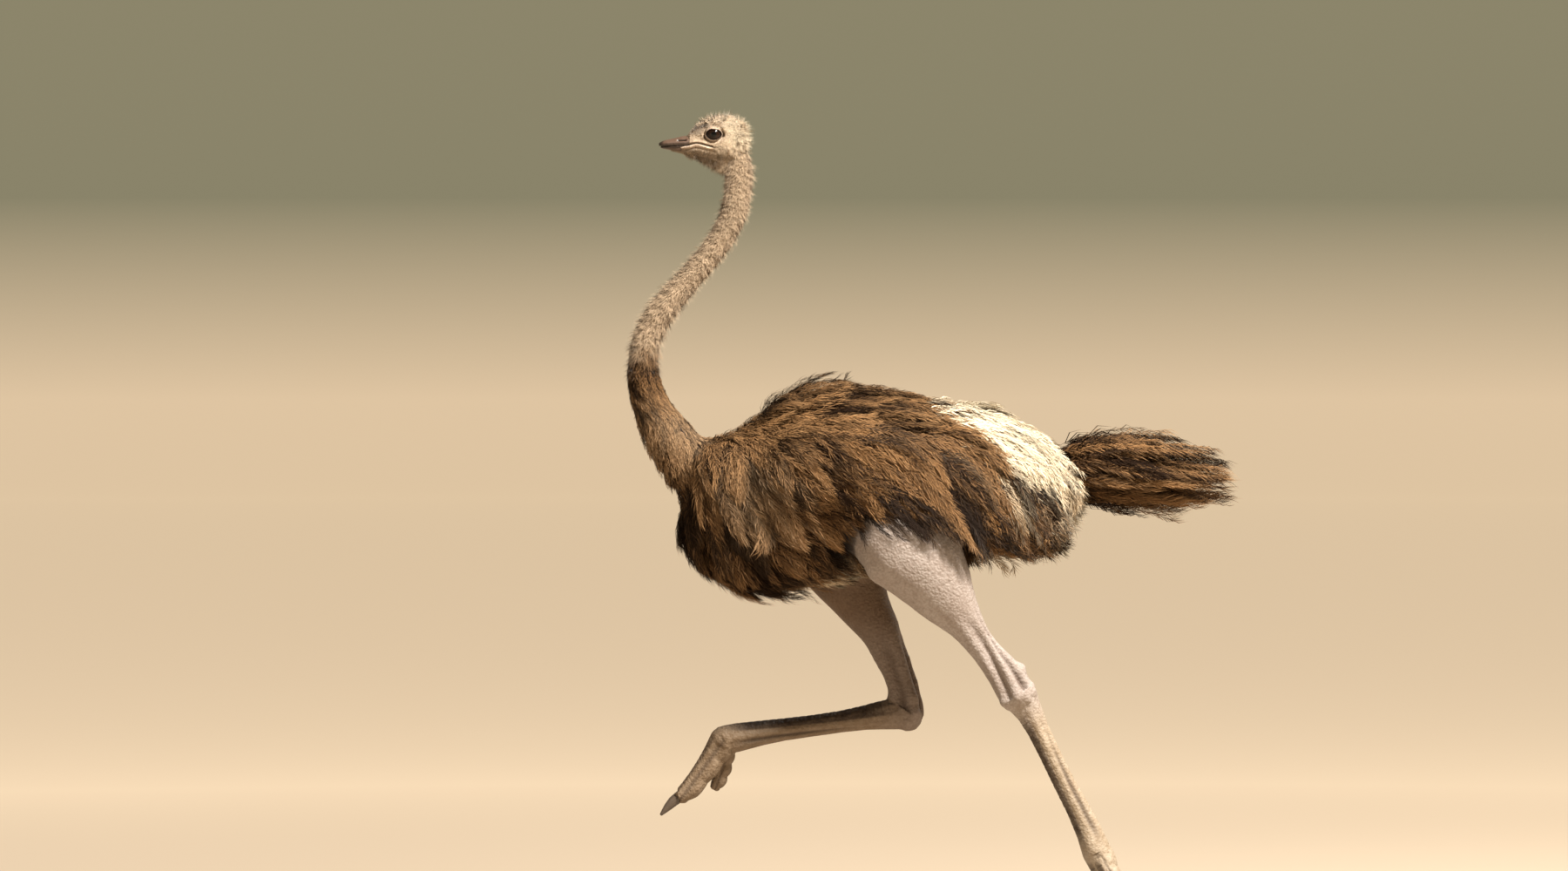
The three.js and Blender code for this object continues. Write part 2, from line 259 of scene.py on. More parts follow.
# ------------------------------------------------------------------ node helpers for materials
class Nodes:
    """A thin hand for building a material's or a group's nodes."""

    def __init__(self, tree):
        self.tree = tree

    def add(self, kind, inputs=None, **settings):
        node = self.tree.nodes.new(kind)
        for name, value in settings.items():
            setattr(node, name, value)
        self.fill(node, inputs or {})
        return node

    def fill(self, node, inputs):
        """Links or sets a node's inputs."""
        for name, value in inputs.items():
            self.feed(value, node.inputs[name])

    def feed(self, value, socket):
        if isinstance(value, bpy.types.NodeSocket):
            self.tree.links.new(value, socket)
        elif isinstance(value, bpy.types.Node):
            self.tree.links.new(value.outputs[0], socket)
        else:
            socket.default_value = value

    def math(self, operation, a, b=0.0, c=0.0, clamp=False):
        node = self.add("ShaderNodeMath", {0: a, 1: b, 2: c}, operation=operation, use_clamp=clamp)
        return node.outputs[0]

    def distance(self, a, b):
        """The length of a flat vector with these two parts."""
        squares = self.math("ADD", self.math("MULTIPLY", a, a), self.math("MULTIPLY", b, b))
        return self.math("SQRT", squares)

    def times(self, colour, by):
        return self.mix(1.0, colour, by, "MULTIPLY")

    def level(self, value):
        """A grey of this brightness."""
        return self.add("ShaderNodeCombineXYZ", {0: value, 1: value, 2: value}).outputs[0]

    def mix(self, factor, a, b, blend="MIX"):
        node = self.add("ShaderNodeMix", data_type="RGBA", blend_type=blend)
        self.feed(factor, node.inputs["Factor"])
        self.feed(a, node.inputs["A"])
        self.feed(b, node.inputs["B"])
        return node.outputs["Result"]

    def spread(self, value, low, high, to_low=0.0, to_high=1.0):
        node = self.add("ShaderNodeMapRange", {0: value, 1: low, 2: high, 3: to_low, 4: to_high})
        return node.outputs[0]

    def attribute(self, name):
        return self.add("ShaderNodeAttribute", attribute_name=name).outputs["Fac"]

    def noise(self, place, scale, detail=3.0, roughness=0.6):
        values = {"Vector": place, "Scale": scale, "Detail": detail, "Roughness": roughness}
        return self.add("ShaderNodeTexNoise", values).outputs["Fac"]

    def object_place(self):
        return self.add("ShaderNodeTexCoord").outputs["Object"]


def rgba(colour):
    return (*colour[:3], 1.0)


def new_material(name):
    material = bpy.data.materials.new(name)
    material.use_nodes = True
    nodes = Nodes(material.node_tree)
    shader = material.node_tree.nodes["Principled BSDF"]
    return material, nodes, shader


def new_group(name, inputs, outputs):
    """A shader node group with named inputs, name to (socket type, default), and named outputs."""
    tree = bpy.data.node_groups.new(name, "ShaderNodeTree")
    for socket, (kind, default) in inputs.items():
        tree.interface.new_socket(socket, in_out="INPUT", socket_type=kind).default_value = default
    for socket, kind in outputs.items():
        tree.interface.new_socket(socket, in_out="OUTPUT", socket_type=kind)
    nodes = Nodes(tree)
    return nodes, nodes.add("NodeGroupInput"), nodes.add("NodeGroupOutput")


# ------------------------------------------------------------------ skin: the body's own shape
def solid_copy(node, grow=0.0004):
    """A closed copy of a CAD node, a hair larger, so that it meets its neighbours."""
    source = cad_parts[node]
    copy = bpy.data.objects.new("copy_" + node, source.data.copy())
    bpy.context.scene.collection.objects.link(copy)
    work = bmesh.new()
    work.from_mesh(copy.data)
    bmesh.ops.remove_doubles(work, verts=work.verts, dist=1e-6)
    bmesh.ops.recalc_face_normals(work, faces=work.faces)
    work.to_mesh(copy.data)
    work.free()
    if grow:
        set_points(copy, get_points(copy) + get_normals(copy) * grow)
    return copy


def join_solids(first, others):
    """Joins the others to the first, one after another."""
    for other in others:
        apply_modifier(first, "BOOLEAN", operation="UNION", solver="MANIFOLD", object=other)
        bpy.data.objects.remove(other)
    return first


def split_faces(obj, chosen):
    """Cuts the chosen faces into four."""
    activate(obj)
    bpy.ops.object.mode_set(mode="EDIT")
    bpy.ops.mesh.select_mode(type="FACE")
    bpy.ops.mesh.select_all(action="DESELECT")
    bpy.ops.object.mode_set(mode="OBJECT")
    obj.data.polygons.foreach_set("select", chosen)
    bpy.ops.object.mode_set(mode="EDIT")
    bpy.ops.mesh.subdivide(number_cuts=1)
    bpy.ops.object.mode_set(mode="OBJECT")


class FleshMap:
    """Finds, for any point, the nearest place on the solids and the part it belongs to."""

    def __init__(self):
        points, faces, owners = [], [], []
        start = 0
        for index, node in enumerate(FLESH + EYES):
            points.append(node_points(node))
            faces.append(triangle_corners(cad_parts[node].data) + start)
            owners.append(np.full(len(faces[-1]), FLESH.index("head") if node in EYES else index))
            start += len(points[-1])
        self.owners = np.concatenate(owners)
        self.tree = BVHTree.FromPolygons(np.concatenate(points).tolist(), np.concatenate(faces).tolist())

    def nearest(self, points):
        found = [self.tree.find_nearest(Vector(p)) for p in points]
        places = np.array([f[0] for f in found])
        parts = self.owners[np.array([f[2] for f in found])]
        return places, parts


def is_part(parts, *names):
    """Which entries of an array of part numbers belong to parts with these names."""
    wanted = [i for i, node in enumerate(FLESH) if any(node.startswith(n) for n in names)]
    return np.isin(parts, wanted)


STUMP_SIZE = (0.095, 0.085, 0.082)  # half sizes of the tail's fleshy stump
FINER = (  # what is cut finer in each round, as parts or as a place on the face
    ("shank", "tarsus", "toe", "head", "neck_upper", "neck_middle"),
    ("tarsus", "toe", "head"),
    "face",
    "eyes",
)


def rough_skin():
    """One closed surface round all the flesh, finer on the legs and finest on the face."""
    skin = solid_copy("trunk")
    skin.name = "skin"
    bpy.ops.mesh.primitive_uv_sphere_add(segments=24, ring_count=16, radius=1.0)
    stump = bpy.context.object
    tail_low, tail_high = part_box("tail")
    stump_centre = np.array([tail_low.x + 0.012, 0, (tail_low.z + tail_high.z) / 2 + 0.006])
    set_points(stump, get_points(stump) * STUMP_SIZE + stump_centre)
    others = [solid_copy(node) for node in FLESH + EYES if node != "trunk"]
    chin = solid_copy("bill_lower", grow=0.0009)
    points = get_points(chin)
    x = points[:, 0]
    x = np.where(x < CHIN_X, CHIN_X + (x - CHIN_X) * 0.1, x)
    points[:, 0] = np.where(x > BILL_ROOT_X - 0.002, BILL_ROOT_X + 0.004, x)
    set_points(chin, points)
    others.append(chin)
    join_solids(skin, [stump, *others])
    cell = bpy.context.scene.ostrich_skin.coarse_cell
    apply_modifier(skin, "REMESH", mode="VOXEL", voxel_size=cell)
    flesh = FleshMap()
    broad = is_part(flesh.nearest(get_points(skin))[1], *BROAD).astype(float)
    set_points(skin, relax(get_edges(skin), get_points(skin), 90, broad, back=0.646))
    for finer in FINER:
        centres = read_all(skin.data.polygons, "center", 3)
        if finer == "face":
            chosen = (centres[:, 0] < EYE[0] + 0.036) & (centres[:, 2] > EYE[2] - 0.06)
        elif finer == "eyes":
            reach = np.hypot(centres[:, 0] - EYE[0], centres[:, 2] - EYE[2])
            chosen = (reach < 0.025) & (np.abs(centres[:, 1]) > 0.015)
        else:
            chosen = is_part(flesh.nearest(centres)[1], *finer)
        split_faces(skin, chosen)
    return skin, flesh


def gape_height(x):
    """Height of the slit between the bill's halves, and of the gape that continues it."""
    rise = 0.0048 * np.clip((x - BILL_ROOT_X) / 0.02, 0, 1) - 0.0020 * np.clip((BILL_ROOT_X - x) / 0.06, 0, 1)
    return MOUTH_Z + rise - 0.009 * smooth_step(-0.585, EYE[0] + 0.006, x)


def lid_opening(angle):
    """Distance of the lids' edge from the eye's centre; the upper lid's edge is flatter."""
    reach = 1 / np.sqrt((np.cos(angle) / 0.0162) ** 2 + (np.sin(angle) / 0.0127) ** 2)
    return np.minimum(reach, 0.0112 / np.maximum(np.sin(angle + 0.10), 0.5))


def sculpt_head(points, normals, parts):
    """Lids, brow, lore, gape and ear, as moves of the skin over the skull."""
    head = is_part(parts, "head", "ear") | (is_part(parts, "neck_upper") & (points[:, 2] > EAR[2] - 0.03))
    side = np.where(points[:, 1] < 0, -1.0, 1.0)
    x, z = points[:, 0], points[:, 2]
    across = np.abs(normals[:, 1])  # 1 where the skin faces sideways
    dx, dz = x - EYE[0], z - EYE[2]
    radial = np.hypot(dx, dz * 1.06)
    angle = np.arctan2(dz, dx)
    move = np.zeros(len(points))
    # brow over the eye, hollow lore before it, and cheek behind it
    brow = bump(radial, 0.027, 0.006) * smooth_step(0.2, 0.9, np.sin(angle + 0.25))
    move += 0.0032 * brow * across
    move -= 0.0050 * bump(dx, -0.036, 0.014) * bump(dz, -0.008, 0.010) * across
    move += 0.0030 * bump(dx, 0.030, 0.016) * bump(dz, -0.030, 0.018) * across
    move -= 0.0030 * bump(dx, 0.012, 0.020) * bump(z, MOUTH_Z - 0.034, 0.010) * across
    # the gape runs back from the bill to a corner under the eye
    corner_x = EYE[0] + 0.006
    gape_z = gape_height(x)
    along = smooth_step(corner_x + 0.004, corner_x - 0.010, x)
    move -= 0.0040 * bump(z, gape_z, 0.0016) * along * across
    move += 0.0016 * bump(z, gape_z + 0.0042, 0.0022) * along * across
    move += 0.0022 * bump(z, gape_z - 0.0048, 0.0028) * along * across
    move -= 0.0012 * bump(z, gape_z - 0.0105, 0.0020) * along * across
    # ear opening with a raised rim
    ear = np.hypot(x - EAR[0], (z - EAR[2]) * 0.8)
    move += (0.0016 * bump(ear, 0.0085, 0.0028) - 0.0060 * bump(ear, 0, 0.0048)) * across
    moved = points + normals * (move * head)[:, None]
    # lids: the skin wraps the eyeball and dives under it at the opening
    centre_y = EYE[1]
    corner = 0.0018 * np.abs(np.cos(angle)) ** 8
    opening = lid_opening(angle) + corner
    reach = np.hypot(dx, dz)
    beyond = reach - opening
    outside = np.clip(beyond / 0.010, 0, 1)
    wrinkle = np.sin(outside * math.pi * (4.2 + 1.0 * np.cos(angle))) * (1 - outside)
    shell = EYE_RADIUS + 0.0010 + 0.0010 * bump(beyond, 0.0010, 0.0011) + 0.0009 * wrinkle
    lid_y = centre_y + np.sqrt(np.maximum(shell**2 - reach**2, 0))
    inside = smooth_step(0.0004, -0.0008, beyond)
    under_y = centre_y + np.sqrt(np.maximum((EYE_RADIUS * 0.80) ** 2 - np.minimum(reach, 0.016) ** 2, 0))
    lid = smooth_step(0.0085, 0.0030, beyond)
    new_y = np.abs(moved[:, 1]) * (1 - lid) + lid_y * lid
    new_y = new_y * (1 - inside) + under_y * inside
    over_ball = (beyond > 0) & (reach < EYE_RADIUS)
    new_y = np.where(over_ball, np.maximum(new_y, lid_y), new_y)
    near = head & ((beyond < 0.0085) | over_ball) & (np.abs(moved[:, 1]) > 0.012)
    moved[near, 1] = (side * new_y)[near]
    # painted shade in the lid's creases, with the lid's dark rim, for the material
    creases = smooth_step(-0.1, -0.8, wrinkle) * smooth_step(0.0020, 0.0034, beyond)
    creases *= smooth_step(0.6, 0.1, np.sin(angle))
    edge = np.maximum(bump(beyond, 0.0004, 0.0010), 0.8 * creases) * near
    return moved, smooth_step(0.0082, 0.0046, beyond) * near, edge


def leg_frame(points, upper, lower):
    """Along, around and out: how far down a limb each point lies, its angle and its distance.

    The angle is 0 at the front of the limb and half a turn at its back."""
    axis = unit(lower - upper)
    back = unit(np.cross(axis, (0, 1, 0)))
    offset = points - upper
    along = offset @ axis / np.linalg.norm(lower - upper)
    flat = offset - np.outer(offset @ axis, axis)
    angle = np.arctan2(flat[:, 1], -(flat @ back))
    return along, angle, np.linalg.norm(flat, axis=1)


# how far down the tarsus, angle round it, width and height of each knob of the ankle
ANKLE_KNOBS = (
    (0.030, 0.55, 0.24, 0.0075),
    (0.02, 1.35, 0.22, 0.0050),
    (0.075, 1.9, 0.22, 0.0035),
    (0.05, 2.6, 0.28, 0.0040),
    (-0.10, 2.9, 0.38, 0.0095),
)


def sculpt_leg(points, normals, parts, side):
    """Tendons and hollows above the ankle, its knobs, the tarsus' plates and cord, and toe pads."""
    ankle, knuckle = limb_line("tarsus_" + side)
    if side == "right":
        ankle, knuckle = sorted((ankle, knuckle), key=lambda p: -p[0])
    move = np.zeros(len(points))
    plates = np.zeros(len(points))
    groove = np.zeros(len(points))

    # hollows between calf and tendon, deepest just above the ankle
    shank = is_part(parts, "shank_" + side)
    knee = middle("thigh_" + side)
    calf = ankle + (knee - ankle) * 0.55
    along, angle, _ = leg_frame(points, calf, ankle)
    low = smooth_step(0.15, 0.55, along) * smooth_step(1.12, 0.9, along) * shank
    turn = np.abs(angle)
    pit = bump(turn, 2.05, 0.30) * bump(along, 0.97, 0.10) * shank
    move -= 0.0075 * bump(turn, 0.95, 0.20) * low + 0.0105 * bump(turn, 2.05, 0.26) * low + 0.005 * pit
    move += 0.0032 * bump(turn, 1.5, 0.25) * low
    move += 0.0024 * bump(turn, 0.50, 0.20) * low
    # painted shade in these hollows
    groove += 0.55 * bump(turn, 0.98, 0.14) * low + 0.60 * bump(turn, 2.05, 0.20) * low + 0.6 * pit

    # a row of plates down the front of the tarsus, and the cord behind it
    tarsus = is_part(parts, "tarsus_" + side)
    along, angle, _ = leg_frame(points, ankle, knuckle)
    turn = np.abs(angle)
    shaft = smooth_step(0.10, 0.24, along) * smooth_step(0.97, 0.82, along) * tarsus
    front = smooth_step(1.40, 1.16, turn)
    rows = np.abs(np.mod(along * 27 + 0.12 * np.sin(angle * 3), 1) - 0.5) * 2
    # the plates' mark turns them near black: partly their own dark horn, partly painted shade on the tarsus'
    # front
    plates += front * shaft
    groove += 0.7 * front * shaft * smooth_step(0.30, 0.06, 1 - rows)
    # painted shade in the cord's groove and beside the plates
    cord = 0.9 * bump(turn, 2.25, 0.20) * smooth_step(0.25, 0.6, along)
    groove += (cord + 0.35 * bump(turn, 1.15, 0.12)) * shaft
    move += 0.0012 * front * shaft * (1 - rows**6) - 0.0004 * front * shaft
    move -= 0.0036 * bump(turn, 2.25, 0.22) * shaft
    move -= 0.0016 * bump(turn, 1.25, 0.25) * shaft
    joint = (tarsus | shank).astype(float)
    for down, around, size, height in ANKLE_KNOBS:
        spot = ((along - down) / 0.032) ** 2 + ((turn - around) / size) ** 2
        move += height * np.exp(-spot) * joint
    scaled = smooth_step(-0.02, 0.30, along) * tarsus
    move += 0.0030 * bump(along, 0.93, 0.05) * bump(turn, 1.5, 0.5) * tarsus

    # plates on top of each toe and pads under it
    for toe, count in (("toe_main_", 17), ("toe_side_", 10)):
        root, tip = limb_line(toe + side)
        mask = is_part(parts, toe + side)
        along, angle, _ = leg_frame(points, root, tip)
        turn = np.abs(angle)
        top = smooth_step(1.05, 0.75, turn) * mask * smooth_step(0.05, 0.2, along)
        rows = np.abs(np.mod(along * count, 1) - 0.5) * 2
        move += top * (0.0009 * (1 - rows**6) - 0.0003)
        plates += top * 0.6
        scaled = np.maximum(scaled, mask)
        # the dark seams between the toe's plates, and painted shade in its side groove
        groove += top * smooth_step(0.35, 0.08, 1 - rows) * 0.8 + 0.6 * bump(turn, 1.7, 0.22) * mask
        sole = smooth_step(1.7, 2.4, turn) * mask
        pads = np.abs(np.sin(along * math.pi * 3.2 + 0.3))
        move += sole * 0.0042 * (pads - 0.45)
        move -= 0.0020 * bump(turn, 1.7, 0.2) * mask
    return points + normals * move[:, None], np.stack([plates, np.clip(groove, 0, 1), scaled])


def build_skin_mesh():
    """The one skin: smoothed, let in by the coat's depth, then sculpted and marked."""
    skin, flesh = rough_skin()
    points = get_points(skin)
    places, parts = flesh.nearest(points)
    edges = get_edges(skin)
    tail_side = points[:, 0] > TRUNK_HIGH[0] - 0.06
    chin = is_part(parts, "head") & (points[:, 0] < BILL_ROOT_X + 0.006)
    broad = is_part(parts, *BROAD)
    # back onto the solids, but not where the grid joined or rounded them, and smoothed
    points = np.where((tail_side | chin | broad)[:, None], points, places)
    fine = is_part(parts, "toe", "head", "ear")
    points = relax(edges, points, 24)
    points = relax(edges, points, 45, np.where(fine, 0.0, 1.0))
    set_points(skin, points)
    points = restore_neck(flesh, edges, points, get_normals(skin), parts)
    # in by the coat's depth, which fades out towards bare skin and the bill
    depth = np.zeros(len(points))
    for name, value in COAT_DEPTH.items():
        depth[is_part(parts, name)] = value
    depth = np.where(tail_side & ~is_part(parts, "thigh", "shank"), 0.036, depth)
    depth -= 0.020 * smooth_step(-0.50, -0.58, points[:, 0]) * is_part(parts, "trunk")
    depth -= 0.016 * smooth_step(-0.44, -0.50, points[:, 0]) * smooth_step(1.09, 1.13, points[:, 2])
    crown = np.maximum(smooth_step(EYE[2] + 0.018, EYE[2] + 0.040, points[:, 2]),
                       smooth_step(EAR[0] + 0.006, EAR[0] + 0.030, points[:, 0]))
    depth += 0.0040 * crown * is_part(parts, "head")
    depth *= smooth_step(BILL_ROOT_X, BILL_ROOT_X + 0.030, points[:, 0]) + (points[:, 2] < EAR[2] - 0.08)
    depth = np.clip(depth, 0, DEEPEST)
    bare = is_part(parts, *BARE)
    for _ in range(40):
        depth = np.where(bare, 0, neighbour_mean(edges, depth))
    points = fit_bill_root(points, parts)
    set_points(skin, points)
    points = points - get_normals(skin) * depth[:, None]
    points = relax(edges, points, 10, np.where(bare | fine, 0.0, 1.0))
    set_points(skin, points)
    # the forms of face and legs, and what the material reads
    points, lids, lid_rim_crease_shades = sculpt_head(points, get_normals(skin), parts)
    leg_marks = np.zeros((3, len(points)))
    set_points(skin, points)
    normals = get_normals(skin)
    for side in SIDES:
        points, marks = sculpt_leg(points, normals, parts, side)
        leg_marks += marks
    set_points(skin, points)
    skin.data.attributes.new("part", "INT", "POINT").data.foreach_set("value", parts.astype(np.int32))
    add_values(skin, "lid", lids)
    add_values(skin, "lid_rim_crease_shade", lid_rim_crease_shades)
    for name, values in zip(("plate", "groove", "scaled"), leg_marks):
        add_values(skin, name, values)
    # painted shade: the far (right) leg's bare skin is darkened, most towards the top of the thigh under the
    # body
    far_leg_shade = is_part(parts, *[f"{part}_right" for part in ("thigh", *BARE)]).astype(float)
    add_values(skin, "far_leg_shade", far_leg_shade * (0.62 + 0.34 * smooth_step(0.66, 0.78, points[:, 2])))
    paint_skin(skin, points, parts, edges)
    return skin


def restore_neck(flesh, edges, points, normals, parts):
    """Gives the neck back the girth that it lost to the smoothing."""
    share = is_part(parts, "neck").astype(float)
    for _ in range(14):
        share = neighbour_mean(edges, share)
    gap = np.zeros(len(points))
    for k in np.nonzero(share > 0.01)[0]:
        place = Vector(points[k])
        hit = flesh.tree.ray_cast(place, Vector(normals[k]), 0.03)
        if hit[0] is None:
            gap[k] = -min(flesh.tree.find_nearest(place)[3], 0.006)
        else:
            gap[k] = hit[3]
    for _ in range(24):
        gap = neighbour_mean(edges, gap)
    return points + normals * (gap * share)[:, None]


def fit_bill_root(points, parts):
    """Narrows the front of the face, so that the upper bill grows out of it with no step."""
    x, y, z = points.T
    front = smooth_step(BILL_ROOT_X + 0.026, BILL_ROOT_X + 0.001, x) * is_part(parts, "head")
    front = front * smooth_step(MOUTH_Z - 0.004, MOUTH_Z + 0.002, z)
    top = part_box("bill_upper")[1].z - 0.002
    moved = points.copy()
    crown = MOUTH_Z + (z - MOUTH_Z) * np.minimum(1, (top - MOUTH_Z) / 0.027)
    moved[:, 2] = z + (crown - z) * front
    moved[:, 1] = y * (1 - 0.12 * front)
    return moved


def paint_skin(skin, points, parts, edges):
    """Stores the coat's marks, where the skin is feathered or bare, and how the face is marked."""
    for name, values in zip(MARKS, markings(points)):
        add_values(skin, name, values)
    feathered = is_part(parts, "trunk", "wing", "neck").astype(float)
    face = is_part(parts, "head", "ear").astype(float)
    for _ in range(6):
        feathered, face = neighbour_mean(edges, feathered), neighbour_mean(edges, face)
    x, z = points[:, 0], points[:, 2]
    dx, dz = x - EYE[0], z - EYE[2]
    lore = bump(dx, -0.036, 0.015) * bump(dz, -0.004, 0.010)
    brow = bump(dz - 0.30 * (dx + 0.03), 0.017, 0.0055)
    brow = brow * smooth_step(0.0, -0.022, dx) * smooth_step(-0.066, -0.05, dx)
    gape = bump(z, MOUTH_Z - 0.0045, 0.0045) * smooth_step(EYE[0] + 0.004, EYE[0] - 0.022, x)
    gape = gape * smooth_step(BILL_ROOT_X - 0.024, BILL_ROOT_X + 0.004, x)
    # painted shade in the gape's slit and in the ear opening
    slit = bump(z, gape_height(x), 0.0013) * smooth_step(EYE[0] + 0.008, EYE[0] - 0.006, x)
    ear = bump(np.hypot(x - EAR[0], z - EAR[2]), 0, 0.0052)
    add_values(skin, "feathered", feathered)
    add_values(skin, "face", face)
    for name, values in (("lore", lore), ("brow", brow), ("gape", gape), ("slit", np.maximum(slit, ear))):
        add_values(skin, name, values * face)


# ------------------------------------------------------------------ coat: where and which way it grows
class Surface:
    """The finished skin, as arrays, with a quick way to find the nearest place on it."""

    def __init__(self, skin):
        self.points = get_points(skin)
        self.normals = get_normals(skin)
        self.parts = read_all(skin.data.attributes["part"].data, "value", kind=np.int32)
        self.triangles = triangle_corners(skin.data)
        self.tree = BVHTree.FromPolygons(self.points.tolist(), self.triangles.tolist())
        neck = is_part(self.parts, "neck")
        heights = np.linspace(TRUNK_HIGH[2] - 0.20, EAR[2], 30)
        centres = []
        for height in heights:
            ring = neck & (np.abs(self.points[:, 2] - height) < 0.02)
            centres.append(self.points[ring, 0].mean())
        self.neck_heights = heights
        self.neck_centres = np.convolve(np.pad(centres, 2, mode="edge"), np.ones(5) / 5, "valid")

    def neck_x(self, heights):
        return np.interp(heights, self.neck_heights, self.neck_centres)

    def under(self, points):
        """The skin's nearest place to each point, its outward direction and its part there."""
        found = [self.tree.find_nearest(Vector(p)) for p in points]
        parts = self.parts[self.triangles[[f[2] for f in found], 0]]
        return np.array([f[0] for f in found]), np.array([f[1] for f in found]), parts

    def scatter(self, region, spacing, seed):
        """Random places, about evenly spaced, on the part of the skin that the region picks."""
        rng = np.random.default_rng(seed)
        centres = self.points[self.triangles].mean(axis=1)
        outward = unit(self.normals[self.triangles].mean(axis=1))
        chosen = region(centres, outward, self.parts[self.triangles[:, 0]])
        corners = self.points[self.triangles[chosen]]
        sides = np.cross(corners[:, 1] - corners[:, 0], corners[:, 2] - corners[:, 0])
        areas = np.linalg.norm(sides, axis=1) / 2
        number = int(areas.sum() / spacing**2 * 4) + 1
        picked = rng.choice(len(areas), number, p=areas / areas.sum())
        share = rng.dirichlet((1, 1, 1), number)
        places = (corners[picked] * share[:, :, None]).sum(axis=1)
        normals = (self.normals[self.triangles[chosen]][picked] * share[:, :, None]).sum(axis=1)
        cells = np.floor(places / (spacing * 1.18)).astype(np.int64)
        first = np.unique(cells, axis=0, return_index=True)[1]
        return places[first], unit(normals[first])


def lie(surface, points):
    """The way the coat lies: back over the head, down the neck, back and down over the body."""
    x, y, z = points.T
    side = np.sign(y) * smooth_step(0, 0.05, np.abs(y))
    size = TRUNK_HIGH - TRUNK_LOW
    u = np.clip((x - TRUNK_LOW[0]) / size[0], 0, 1)
    w = np.clip((z - TRUNK_LOW[2]) / size[2], 0, 1)
    front = smooth_step(0.30, 0.02, u)  # 1 over the breast
    low = smooth_step(0.95, 0.45, w)  # 1 on the lower half of the body
    body = np.stack([1 - 0.55 * front, side * 0.10 * (1 - front), -0.04 - 0.62 * low - 0.75 * front], axis=1)
    body[:, 2] += 0.45 * smooth_step(0.25, 0.0, w)
    slope = (surface.neck_x(z + 0.02) - surface.neck_x(z - 0.02)) / 0.04
    neck = np.stack([-slope, np.zeros(len(x)), -np.ones(len(x))], axis=1)
    crown = smooth_step(EYE[2] + 0.005, EYE[2] + 0.035, z)
    head = np.stack([np.ones(len(x)), np.zeros(len(x)), -0.75 + 0.55 * crown], axis=1)
    on_head = smooth_step(EAR[0] + 0.035, EAR[0] - 0.015, x) * smooth_step(EAR[2] - 0.045, EAR[2] - 0.01, z)
    on_neck = smooth_step(-0.46, -0.55, x + 0.35 * (z - 1.15)) * smooth_step(1.02, 1.14, z)
    mixed = unit(body) * (1 - on_neck)[:, None] + unit(neck) * on_neck[:, None]
    above = smooth_step(TRUNK_HIGH[2] + 0.02, TRUNK_HIGH[2] + 0.08, z)[:, None]
    mixed = mixed * (1 - above) + unit(neck) * above
    return unit(mixed * (1 - on_head)[:, None] + unit(head) * on_head[:, None])


